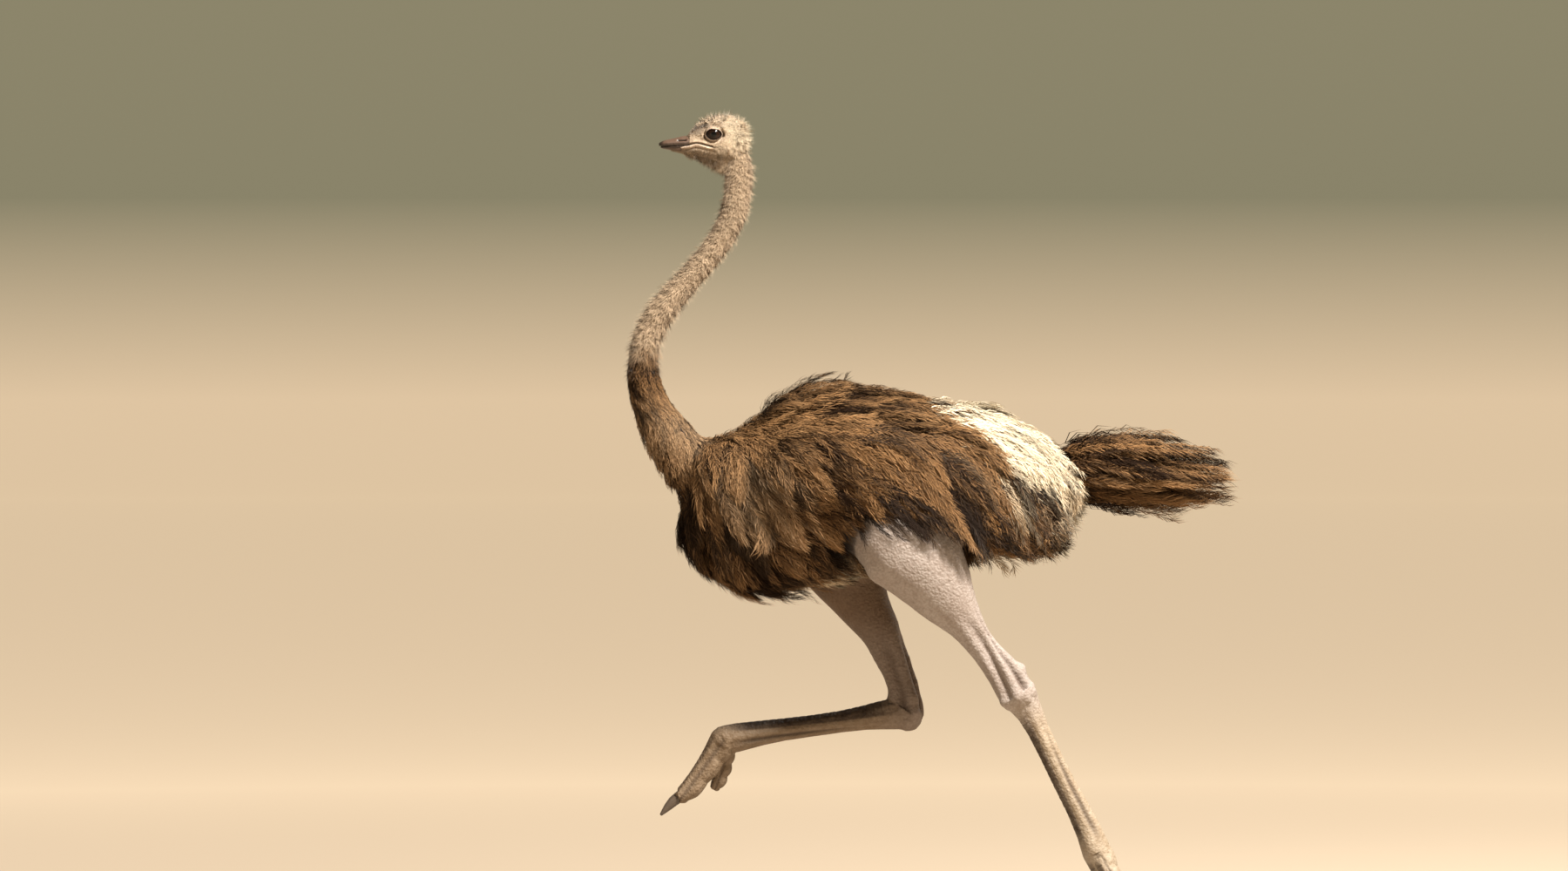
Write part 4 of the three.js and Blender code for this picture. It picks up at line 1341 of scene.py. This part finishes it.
def tail_piece(surface, seed):
    """Drooping plumes that fan out from the tail's stump to the outline of the tail."""
    rng = np.random.default_rng(seed)
    hull = node_points("tail")
    low, high = hull.min(axis=0), hull.max(axis=0)
    number = TAIL_PLUMES
    reach = 1 - rng.random(number) ** 1.25 * 0.74
    x_tip = low[0] + (high[0] - low[0] - 0.026) * reach
    angle = rng.uniform(-math.pi, math.pi, number)
    tips = np.zeros((number, 3))
    for k in range(number):
        near = np.abs(hull[:, 0] - x_tip[k]) < 0.05
        ring = hull[near] if near.sum() > 3 else hull[hull[:, 0] > high[0] - 0.08]
        middle_z = (ring[:, 2].min() + ring[:, 2].max()) / 2
        half_z = (ring[:, 2].max() - ring[:, 2].min()) / 2
        half_y = np.abs(ring[:, 1]).max()
        full = 1.12 - 0.85 * rng.random() ** 2  # how near the outline, most of them close to it
        tip_y = half_y * math.sin(angle[k]) * full
        tip_z = middle_z + half_z * math.cos(angle[k]) * full
        tips[k] = (x_tip[k], tip_y, tip_z)
    outer = np.stack([np.zeros(number), np.sin(angle), np.cos(angle)], axis=1)
    stump = np.array([low[0] - 0.004, 0, (low[2] + high[2]) / 2 + 0.012])
    roots = stump + outer * (0.020, 0.040, 0.050) - np.array([[0.035, 0, 0]]) * rng.random((number, 1))
    bow = 0.024 * rng.random(number)
    lifted = roots + (tips - roots) * (0.48, 0.78, 0.66) + bow[:, None] * (0, 0, 1)
    shares = np.linspace(0, 1, 12)[None, :, None]
    paths = roots[:, None] * (1 - shares) ** 2 + lifted[:, None] * 2 * shares * (1 - shares)
    paths = paths + tips[:, None] * shares**2
    swing = 0.008 * np.sin(shares[:, :, 0] * 7.0 + rng.uniform(0, 6.3, number)[:, None]) * shares[:, :, 0]
    paths[:, :, 1] += swing
    ahead = unit(np.gradient(paths, axis=1))
    away = unit(outer + np.array([0, 0, 0.35]))[:, None]
    outward = unit(away - ahead * (away * ahead).sum(axis=-1, keepdims=True))
    paths, lock = gather(paths, outward, 0.062, 0.62, seed, relief=0.012, at=-1)
    tone = rng.normal(0, 0.62, lock.max() + 1)[lock] + rng.normal(0.1, 0.45, number)
    bundle = Bundle(surface, roots, paths[:, 7], tone)
    add_shafts(bundle, paths, outward, np.full(number, 0.0026))
    half = rng.uniform(0.022, 0.034, number)
    add_barbs(bundle, paths, outward, half, 38, 0.0029, rng, first=0.12, droop=0.34, lax=0.42)
    return bundle.build("plumes_tail")


# ------------------------------------------------------------------ materials
PLUMAGE = "Ostrich plumage"


def plumage_group():
    """Colour of a feather from its marks: dark root as painted shade under the overlapping feathers, brown
    vane, lighter tip, grey down or cream.
    """
    look = bpy.context.scene.ostrich_coat
    tints = [f"{name}_colour" for name in ("root", "vane", "tip", "grey", "pale")]
    inputs = {name: ("NodeSocketColor", rgba(getattr(look, name))) for name in tints}
    inputs |= {name: ("NodeSocketFloat", 0.0) for name in FEATHER_VALUES}
    nodes, start, end = new_group(PLUMAGE, inputs, {"Colour": "NodeSocketColor"})
    value = start.outputs
    # painted shade: the brown darkens towards each feather's root, under the feathers that overlap it
    shade = nodes.math("MULTIPLY_ADD", value["along"], 0.52, 0.23)
    shade = nodes.math("ADD", shade, nodes.math("MULTIPLY", value["tone"], 0.50))
    shade = nodes.math("SUBTRACT", shade, nodes.math("MULTIPLY", value["dark"], 0.55), clamp=True)
    brown = nodes.mix(shade, value["root_colour"], value["vane_colour"])
    tipped = nodes.math("MULTIPLY", value["fray"], value["along"])
    worn = nodes.math("MULTIPLY_ADD", value["tone"], 0.34, 0.62)
    worn = nodes.math("SUBTRACT", worn, nodes.math("MULTIPLY", value["dark"], 0.5), clamp=True)
    tipped = nodes.math("MULTIPLY", tipped, worn)
    brown = nodes.mix(tipped, brown, value["tip_colour"])
    light = nodes.level(nodes.math("MULTIPLY_ADD", value["tone"], 0.30, 0.86))
    grey = nodes.times(value["grey_colour"], light)
    pale = nodes.times(value["pale_colour"], light)
    # painted shade: the grey down darkens towards its roots
    dim = nodes.math("MULTIPLY_ADD", value["dark"], -0.55, 1.0)
    dim = nodes.math("MULTIPLY", dim, nodes.spread(value["along"], 0.0, 1.0, 0.50, 1.10))
    grey = nodes.times(grey, nodes.level(dim))
    colour = nodes.mix(value["grey"], brown, grey)
    colour = nodes.mix(value["pale"], colour, pale)
    nodes.feed(colour, end.inputs["Colour"])


def plumage_colour(nodes, feathered=True):
    """The marks of a mesh, read from its attributes and turned into its colour."""
    if PLUMAGE not in bpy.data.node_groups:
        plumage_group()
    names = FEATHER_VALUES if feathered else MARKS
    inputs = {name: nodes.attribute(name) for name in names}
    group = nodes.add("ShaderNodeGroup", node_tree=bpy.data.node_groups[PLUMAGE])
    nodes.fill(group, inputs)
    return group.outputs["Colour"]


def coat_material(name, sheen=0.0):
    """Dull feather or down with fine dark streaks."""
    material, nodes, shader = new_material(name)
    colour = plumage_colour(nodes)
    streak = nodes.noise(nodes.object_place(), 260.0, 2.0)
    colour = nodes.mix(nodes.spread(streak, 0.35, 0.75, 0.0, 0.35), colour, (0.02, 0.014, 0.009, 1))
    nodes.feed(colour, shader.inputs["Base Color"])
    shader.inputs["Roughness"].default_value = 0.72
    shader.inputs["Sheen Weight"].default_value = sheen
    shader.inputs["Sheen Roughness"].default_value = 0.5
    shader.inputs["Specular IOR Level"].default_value = 0.05
    return material


def skin_material():
    """Painted shade under the feathers, pinkish grey on the legs, horny plates down to the toes."""
    look = bpy.context.scene.ostrich_skin
    material, nodes, shader = new_material("skin")
    place = nodes.object_place()
    large = nodes.noise(place, 9.0, 4.0)
    middling = nodes.noise(place, 60.0, 4.0)
    small = nodes.noise(place, 420.0, 3.0)
    cells = {"Vector": place, "Scale": 190.0}
    pimples = nodes.add("ShaderNodeTexVoronoi", cells, feature="SMOOTH_F1").outputs[0]
    leg = nodes.mix(nodes.spread(large, 0.35, 0.68), rgba(look.bare_colour), (0.255, 0.212, 0.188, 1))
    leg = nodes.mix(nodes.spread(middling, 0.45, 0.72, 0.0, 0.5), leg, (0.215, 0.170, 0.145, 1))
    # painted shade between the raised pimples
    leg = nodes.mix(nodes.spread(pimples, 0.30, 0.75, 0.0, 0.45), leg, (0.155, 0.112, 0.09, 1))
    # the plates turn near black: partly their own dark horn, partly painted shade on the tarsus' front
    plate = nodes.attribute("plate")
    scale = nodes.mix(nodes.spread(middling, 0.3, 0.7), rgba(look.scale_colour), (0.24, 0.18, 0.12, 1))
    brown = nodes.math("MULTIPLY", plate, nodes.spread(middling, 0.38, 0.62, 0.78, 1.0))
    scale = nodes.mix(brown, scale, (0.030, 0.017, 0.009, 1))
    # groove: painted shade in the hollows above the ankle and in the grooves of tarsus and toes, with the
    # dark seams between the plates
    scale = nodes.mix(nodes.attribute("groove"), scale, (0.075, 0.052, 0.036, 1))
    leg = nodes.mix(nodes.attribute("groove"), leg, (0.10, 0.07, 0.055, 1))
    scale = nodes.mix(nodes.spread(small, 0.5, 0.75, 0.0, 0.5), scale, (0.15, 0.115, 0.08, 1))
    bare = nodes.mix(nodes.attribute("scaled"), leg, scale)
    # painted shade: the far leg's bare skin darker, most at the top of the thigh under the body
    bare = nodes.mix(nodes.attribute("far_leg_shade"), bare, nodes.times(bare, (0.38, 0.27, 0.17, 1)))
    # painted shade: where the coat covers it, the skin takes the plumage's colour, darkened
    light_coat = nodes.math("ADD", nodes.attribute("grey"), nodes.attribute("pale"), clamp=True)
    coat_shade = nodes.mix(light_coat, (0.22, 0.17, 0.12, 1), (0.62, 0.50, 0.40, 1))
    down = nodes.times(plumage_colour(nodes, feathered=False), coat_shade)
    colour = nodes.mix(nodes.attribute("feathered"), bare, down)
    face = nodes.mix(nodes.spread(middling, 0.35, 0.7), rgba(look.face_colour), (0.19, 0.135, 0.095, 1))
    face = nodes.mix(nodes.spread(small, 0.45, 0.75, 0.0, 0.4), face, (0.09, 0.06, 0.04, 1))
    face = nodes.mix(nodes.math("MULTIPLY", nodes.attribute("dark"), 0.8), face, (0.17, 0.125, 0.09, 1))
    lid = nodes.mix(nodes.spread(small, 0.4, 0.7), (0.40, 0.31, 0.235, 1), (0.22, 0.155, 0.115, 1))
    for mark, tint in (
        ("lore", (0.30, 0.235, 0.17, 1)),
        ("brow", (0.05, 0.032, 0.02, 1)),
        ("gape", (0.40, 0.31, 0.24, 1)),
        ("lid", lid),
        # the lid's dark rim, and painted shade in the lid's creases
        ("lid_rim_crease_shade", (0.030, 0.018, 0.012, 1)),
        # painted shade in the gape's slit and in the ear opening
        ("slit", (0.02, 0.012, 0.008, 1)),
    ):
        face = nodes.mix(nodes.attribute(mark), face, tint)
    colour = nodes.mix(nodes.attribute("face"), colour, face)
    nodes.feed(colour, shader.inputs["Base Color"])
    shader.inputs["Roughness"].default_value = 0.62
    shader.inputs["Specular IOR Level"].default_value = 0.28
    grain = nodes.math("ADD", nodes.math("MULTIPLY", pimples, -0.8), nodes.math("MULTIPLY", middling, 0.9))
    grain = nodes.math("ADD", grain, nodes.math("MULTIPLY", small, 0.3))
    bump_node = nodes.add("ShaderNodeBump", {"Strength": 0.75, "Distance": 0.0030, "Height": grain})
    nodes.feed(bump_node, shader.inputs["Normal"])
    return material


def horn_material():
    """Grey-brown horn, darker at the tip and along the cutting edges, with painted shade in the nostril."""
    look = bpy.context.scene.ostrich_head
    material, nodes, shader = new_material("horn")
    place = nodes.object_place()
    along = nodes.add("ShaderNodeMapping", {"Vector": place, "Scale": (30.0, 260.0, 260.0)})
    grain = nodes.noise(along, 1.0, 4.0)
    colour = nodes.mix(nodes.spread(grain, 0.3, 0.7), rgba(look.bill_colour), (0.075, 0.045, 0.030, 1))
    colour = nodes.mix(nodes.attribute("edge"), colour, (0.018, 0.010, 0.006, 1))
    nodes.feed(colour, shader.inputs["Base Color"])
    shader.inputs["Roughness"].default_value = 0.42
    bump_node = nodes.add("ShaderNodeBump", {"Strength": 0.3, "Distance": 0.0008, "Height": grain})
    nodes.feed(bump_node, shader.inputs["Normal"])
    return material


def eye_material():
    """Almost black brown iris and a black pupil under a clear wet coat."""
    look = bpy.context.scene.ostrich_head
    material, nodes, shader = new_material("eye")
    parts = nodes.add("ShaderNodeSeparateXYZ", {0: nodes.object_place()})
    dx = nodes.math("SUBTRACT", parts.outputs[0], float(EYE[0]))
    dz = nodes.math("SUBTRACT", parts.outputs[2], float(EYE[2]))
    reach = nodes.distance(dx, dz)
    iris = nodes.mix(nodes.spread(reach, 0.0065, 0.0105), (0.010, 0.005, 0.003, 1), rgba(look.iris_colour))
    colour = nodes.mix(nodes.spread(reach, 0.0058, 0.0064), (0.002, 0.002, 0.002, 1), iris)
    colour = nodes.mix(nodes.spread(reach, 0.0118, 0.0132), colour, (0.012, 0.008, 0.006, 1))
    nodes.feed(colour, shader.inputs["Base Color"])
    shader.inputs["Roughness"].default_value = 0.12
    shader.inputs["Specular IOR Level"].default_value = 0.1
    shader.inputs["Coat Weight"].default_value = 0.42
    shader.inputs["Coat IOR"].default_value = 1.38
    shader.inputs["Coat Roughness"].default_value = 0.02
    return material


def claw_material():
    """Worn dark horn, lighter in places."""
    material, nodes, shader = new_material("claw")
    grain = nodes.noise(nodes.object_place(), 70.0, 5.0)
    colour = nodes.mix(grain, (0.13, 0.095, 0.07, 1), (0.035, 0.025, 0.018, 1))
    nodes.feed(colour, shader.inputs["Base Color"])
    shader.inputs["Roughness"].default_value = 0.4
    return material


def plain_material(name, colour, roughness, grain=0.0):
    """One colour, mottled with a darker shade of it by the grain's share."""
    material, nodes, shader = new_material(name)
    texture = nodes.noise(nodes.object_place(), 90.0, 4.0)
    darker = rgba([c * 0.72 for c in colour])
    mottled = nodes.mix(nodes.spread(texture, 0.3, 0.7, 0.0, grain), rgba(colour), darker)
    nodes.feed(mottled, shader.inputs["Base Color"])
    shader.inputs["Roughness"].default_value = roughness
    return material


# ------------------------------------------------------------------ settings and operators
class OstrichSkin(bpy.types.PropertyGroup):
    coarse_cell: bpy.props.FloatProperty(
        name="Coarse cell", description="Grid size of the skin under the feathers",
        default=0.009, min=0.006, max=0.02, unit="LENGTH")
    bare_colour: bpy.props.FloatVectorProperty(
        name="Bare skin", description="Colour of the bare thighs and shanks",
        default=(0.33, 0.290, 0.270), size=3, subtype="COLOR")
    scale_colour: bpy.props.FloatVectorProperty(
        name="Scales", description="Colour of the horny plates of the lower legs and toes",
        default=(0.34, 0.28, 0.215), size=3, subtype="COLOR")
    face_colour: bpy.props.FloatVectorProperty(
        name="Face", description="Colour of the skin of the face under its bristles",
        default=(0.44, 0.335, 0.235), size=3, subtype="COLOR")


class OstrichCoat(bpy.types.PropertyGroup):
    length_scale: bpy.props.FloatProperty(
        name="Feather length",
        description="Length of the body feathers and plumes against their usual length",
        default=1.0, min=0.6, max=1.3)
    root_colour: bpy.props.FloatVectorProperty(
        name="Feather roots", description="Colour of the feathers at their roots and in their shade",
        default=(0.0100, 0.0042, 0.0018), size=3, subtype="COLOR")
    vane_colour: bpy.props.FloatVectorProperty(
        name="Vanes", description="Colour of the brown body feathers",
        default=(0.190, 0.095, 0.037), size=3, subtype="COLOR")
    tip_colour: bpy.props.FloatVectorProperty(
        name="Tips", description="Colour of the worn tips of the feathers",
        default=(0.39, 0.235, 0.115), size=3, subtype="COLOR")
    grey_colour: bpy.props.FloatVectorProperty(
        name="Grey down", description="Colour of the short coat of head and neck",
        default=(0.53, 0.395, 0.265), size=3, subtype="COLOR")
    pale_colour: bpy.props.FloatVectorProperty(
        name="Pale plumes", description="Colour of the pale plumes of the rump",
        default=(0.74, 0.64, 0.475), size=3, subtype="COLOR")


class OstrichHead(bpy.types.PropertyGroup):
    bill_colour: bpy.props.FloatVectorProperty(
        name="Bill", description="Colour of the bill's horn",
        default=(0.078, 0.046, 0.031), size=3, subtype="COLOR")
    iris_colour: bpy.props.FloatVectorProperty(
        name="Iris", description="Colour of the iris",
        default=(0.012, 0.005, 0.003), size=3, subtype="COLOR")


class BuildSkin(bpy.types.Operator):
    """Build the one skin of head, neck, trunk, legs and feet"""

    bl_idname = "ostrich.build_skin"
    bl_label = "Skin"

    def execute(self, context):
        skin = build_skin_mesh()
        finish_piece(skin, "skin", *FLESH, material=skin_material())
        return {"FINISHED"}


def fine_copy(node, name, cell, rounds, grow=0.0002, tuck=None):
    """A smooth, dense copy of a small solid. tuck moves its points before the smoothing."""
    copy = solid_copy(node, grow)
    copy.name = name
    if tuck:
        set_points(copy, tuck(get_points(copy)))
    apply_modifier(copy, "REMESH", mode="VOXEL", voxel_size=cell)
    set_points(copy, relax(get_edges(copy), get_points(copy), rounds))
    return copy


def tuck_root(points):
    """The bill's root, drawn back into the face."""
    root = smooth_step(BILL_ROOT_X - 0.006, BILL_ROOT_X - 0.001, points[:, 0])
    return points + np.outer(root, (0.016, 0, 0))


def bill_half(node):
    """One half of the bill: a flat biting side, a ridge and nostrils above, a groove below."""
    bill = fine_copy(node, node + "_horn", 0.0011, 14, tuck=tuck_root)
    points, normals = get_points(bill), get_normals(bill)
    down = -1.0 if node == "bill_upper" else 1.0
    facing = smooth_step(0.2, 0.8, normals[:, 2] * down)
    points[:, 2] += (gape_height(points[:, 0]) - 0.0001 * down - points[:, 2]) * facing
    x, y, z = points[:, 0], np.abs(points[:, 1]), points[:, 2]
    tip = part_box(node)[0].x
    share = np.clip((x - tip) / (BILL_ROOT_X - tip), 0, 1)
    dark = smooth_step(0.24, 0.06, share)
    dark = np.maximum(dark, 0.92 * smooth_step(0.0085, 0.0035, np.abs(z - gape_height(x))))
    if node == "bill_upper":
        nostril_z = MOUTH_Z + 0.0125
        slot = bump(z, nostril_z + 0.05 * (x - BILL_ROOT_X), 0.0021)
        slot = slot * smooth_step(-0.628, -0.622, x) * smooth_step(-0.602, -0.606, x) * (y > 0.004)
        ridge = bump(y, 0, 0.0045) * (normals[:, 2] > 0.4)
        groove = bump(y, 0.0075, 0.0020) * (normals[:, 2] > 0.2) * smooth_step(0.15, 0.35, share)
        points += normals * (0.0010 * ridge - 0.0011 * groove - 0.0055 * slot)[:, None]
        # painted shade in the nostril
        dark = np.maximum(dark, smooth_step(0.15, 0.50, slot))
    else:
        groove = bump(z, MOUTH_Z - 0.0085 + 0.002 * share, 0.0014) * smooth_step(0.25, 0.5, share)
        points -= normals * (0.0010 * groove)[:, None]
    set_points(bill, points)
    add_values(bill, "edge", dark)
    return bill


class BuildBill(bpy.types.Operator):
    """Build the two halves of the bill with cutting edges and nostrils"""

    bl_idname = "ostrich.build_bill"
    bl_label = "Bill"

    def execute(self, context):
        material = horn_material()
        for node in ("bill_upper", "bill_lower"):
            finish_piece(bill_half(node), "horn", node, material=material)
        return {"FINISHED"}


class BuildEyes(bpy.types.Operator):
    """Build the two glossy eyes"""

    bl_idname = "ostrich.build_eyes"
    bl_label = "Eyes"

    def execute(self, context):
        material = eye_material()
        for name, sign in SIDES.items():
            deselect_all()
            bpy.ops.mesh.primitive_uv_sphere_add(segments=64, ring_count=40, radius=EYE_RADIUS - 0.0002)
            eye = context.object
            eye.name = "eyeball_" + name
            points = get_points(eye)
            reach = np.hypot(points[:, 0], points[:, 2])
            bulge = 0.0010 * bump(reach, 0, 0.0085) * (points[:, 1] * sign > 0)
            points = points + unit(points) * bulge[:, None] + (EYE[0], EYE[1] * sign, EYE[2])
            set_points(eye, points)
            finish_piece(eye, "eye", "eye_" + name, material=material)
        return {"FINISHED"}


class BuildClaws(bpy.types.Operator):
    """Build the claw of each main toe"""

    bl_idname = "ostrich.build_claws"
    bl_label = "Claws"

    def execute(self, context):
        material = claw_material()
        for side in SIDES:
            claw = fine_copy("claw_main_" + side, "claw_" + side, 0.0014, 10, grow=0.0005)
            finish_piece(claw, "claw", "claw_main_" + side, material=material)
        return {"FINISHED"}


class BuildDown(bpy.types.Operator):
    """Grow the bristly down of the head and neck"""

    bl_idname = "ostrich.build_down"
    bl_label = "Head and neck down"

    def execute(self, context):
        surface = Surface(bpy.data.objects["skin"])
        material = coat_material("down", sheen=0.2)
        for seed, name in enumerate(DOWN):
            finish_piece(down_piece(surface, name, 100 + seed), "down", material=material, smooth=False)
        dark = plain_material("lashes", (0.02, 0.013, 0.009), 0.5)
        finish_piece(lash_piece(), "down", material=dark, smooth=False)
        return {"FINISHED"}


class BuildFeathers(bpy.types.Operator):
    """Grow the body feathers"""

    bl_idname = "ostrich.build_feathers"
    bl_label = "Body feathers"

    def execute(self, context):
        surface = Surface(bpy.data.objects["skin"])
        scale = context.scene.ostrich_coat.length_scale
        material = coat_material("feather")
        for seed, name in enumerate(FEATHERS):
            piece = feather_piece(surface, name, 200 + seed, scale)
            finish_piece(piece, "feather", material=material, smooth=False)
        return {"FINISHED"}


class BuildPlumes(bpy.types.Operator):
    """Grow the long plumes of the wings and the tail"""

    bl_idname = "ostrich.build_plumes"
    bl_label = "Wing and tail plumes"

    def execute(self, context):
        surface = Surface(bpy.data.objects["skin"])
        scale = context.scene.ostrich_coat.length_scale
        material = coat_material("plume", sheen=0.18)
        for seed, side in enumerate(SIDES):
            plumes = wing_piece(surface, side, 300 + seed, scale)
            finish_piece(plumes, "plume", "wing_" + side, material=material, smooth=False)
        tail = tail_piece(surface, 310)
        finish_piece(tail, "tail", "tail", material=coat_material("tail"), smooth=False)
        return {"FINISHED"}


class BuildStand(bpy.types.Operator):
    """Finish the display base"""

    bl_idname = "ostrich.build_stand"
    bl_label = "Base"

    def execute(self, context):
        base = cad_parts["stand_base"]
        base.data.materials.clear()
        base.data.materials.append(plain_material("stand", (0.30, 0.27, 0.235), 0.7, grain=0.12))
        edge = base.modifiers.new("Rounded edges", "BEVEL")
        edge.width = 0.003
        edge.segments = 3
        edge.limit_method = "ANGLE"
        return {"FINISHED"}


FLOOR_REACH = 44  # where the round floor starts to rise
COVE_RADIUS = 4
WALL_TOP = 16
FLOOR_SECTIONS = 96
CAMERA_PLACE = (-0.38, -25.0, 1.61)
CAMERA_AIM = (-0.38, 0, 1.17)
LAMP_AIM = Vector((-0.2, 0, 1.05))
LAMPS = (
    # name, place, size, power, colour
    ("key", (2.8, -3.6, 7.0), 1.2, 2350, (1.0, 0.93, 0.83)),
    ("fill", (-5.5, -5.0, 1.8), 4.0, 26, (1.0, 0.93, 0.84)),
    ("rim", (2.0, 3.2, 4.2), 2.0, 120, (1.0, 0.95, 0.88)),
)


def round_floor():
    """A wide round floor that rises in a cove to a low wall on every side."""
    profile = [(reach, 0.0) for reach in (0, 3, 8, 16, 28, FLOOR_REACH)]
    for angle in np.linspace(0, math.pi / 2, 17)[1:]:
        out, up = COVE_RADIUS * math.sin(angle), COVE_RADIUS * math.cos(angle)
        profile.append((FLOOR_REACH + out, COVE_RADIUS - up))
    profile = np.array(profile + [(FLOOR_REACH + COVE_RADIUS, WALL_TOP)])
    turn = np.linspace(0, 2 * math.pi, FLOOR_SECTIONS + 1)[:-1]
    points = np.zeros((len(profile), FLOOR_SECTIONS, 3))
    points[:, :, 0] = profile[:, :1] * np.cos(turn)
    points[:, :, 1] = profile[:, :1] * np.sin(turn)
    points[:, :, 2] = profile[:, 1:]
    first = np.arange((len(profile) - 1) * FLOOR_SECTIONS)
    beside = first - first % FLOOR_SECTIONS + (first + 1) % FLOOR_SECTIONS
    faces = np.stack([first, first + FLOOR_SECTIONS, beside + FLOOR_SECTIONS, beside], axis=1)
    floor = mesh_object("floor", points.reshape(-1, 3), [faces])
    floor.data.polygons.foreach_set("use_smooth", np.ones(len(faces), bool))
    floor.data.materials.append(floor_material())
    return floor


def floor_material():
    """Pale sand that turns grey-green with height, and glows a little away from the bird."""
    material, nodes, shader = new_material("floor")
    parts = nodes.add("ShaderNodeSeparateXYZ", {0: nodes.object_place()})
    height = nodes.spread(parts.outputs[2], 0.60, 1.92)
    fade = nodes.mix(height, (0.40, 0.325, 0.243, 1), (0.115, 0.12, 0.080, 1))
    nodes.feed(fade, shader.inputs["Base Color"])
    shader.inputs["Roughness"].default_value = 0.9
    glow = nodes.mix(height, (0.62, 0.475, 0.315, 1), (0.205, 0.187, 0.122, 1))
    nodes.feed(glow, shader.inputs["Emission Color"])
    away = nodes.distance(parts.outputs[0], parts.outputs[1])
    nodes.feed(nodes.spread(away, 2.0, 7.5), shader.inputs["Emission Strength"])
    material.cycles.emission_sampling = "NONE"
    return material


def add_aimed(name, data, place, aim):
    """A lamp or camera at a place, turned towards its aim."""
    obj = bpy.data.objects.new(name, data)
    bpy.context.scene.collection.objects.link(obj)
    obj.location = place
    obj.rotation_mode = "QUATERNION"
    obj.rotation_quaternion = (Vector(aim) - Vector(place)).to_track_quat("-Z", "Y")
    return obj


class BuildStage(bpy.types.Operator):
    """Set up the floor, the lights and the camera"""

    bl_idname = "ostrich.build_stage"
    bl_label = "Stage"

    def execute(self, context):
        round_floor()
        world = bpy.data.worlds.new("studio")
        context.scene.world = world
        world.use_nodes = True
        background = world.node_tree.nodes["Background"]
        background.inputs["Color"].default_value = (1.0, 0.86, 0.72, 1)
        background.inputs["Strength"].default_value = 0.16
        for name, place, size, power, colour in LAMPS:
            light = bpy.data.lights.new(name, "AREA")
            light.shape = "DISK"
            light.size = size
            light.energy = power
            light.color = colour
            add_aimed(name, light, place, LAMP_AIM).visible_camera = False
        lens = bpy.data.cameras.new("camera")
        lens.lens = 250
        lens.sensor_width = 36
        lens.clip_end = 200
        context.scene.camera = add_aimed("camera", lens, CAMERA_PLACE, CAMERA_AIM)
        context.scene.view_settings.view_transform = "Standard"
        return {"FINISHED"}


class OstrichPanel(bpy.types.Panel):
    """Buttons for the pieces of the running ostrich"""

    bl_idname = "OSTRICH_PT_pieces"
    bl_label = "Running Ostrich"
    bl_space_type = "VIEW_3D"
    bl_region_type = "UI"
    bl_category = "Ostrich"

    def draw(self, context):
        for step in STEPS:
            self.layout.operator(step.bl_idname)
        for name in SETTINGS:
            group = getattr(context.scene, name)
            box = self.layout.box()
            for prop in group.__annotations__:
                box.prop(group, prop)


SETTINGS = {"ostrich_skin": OstrichSkin, "ostrich_coat": OstrichCoat, "ostrich_head": OstrichHead}
STEPS = [
    BuildSkin, BuildBill, BuildEyes, BuildClaws, BuildDown,
    BuildFeathers, BuildPlumes, BuildStand, BuildStage,
]


def register():
    for group in [*SETTINGS.values(), *STEPS, OstrichPanel]:
        bpy.utils.register_class(group)
    for name, group in SETTINGS.items():
        setattr(bpy.types.Scene, name, bpy.props.PointerProperty(type=group))


def unregister():
    for name in SETTINGS:
        delattr(bpy.types.Scene, name)
    for group in reversed([*SETTINGS.values(), *STEPS, OstrichPanel]):
        bpy.utils.unregister_class(group)


def main():
    register()
    for step in STEPS:
        area, name = step.bl_idname.split(".")
        getattr(getattr(bpy.ops, area), name)()


if __name__ == "__main__":
    main()
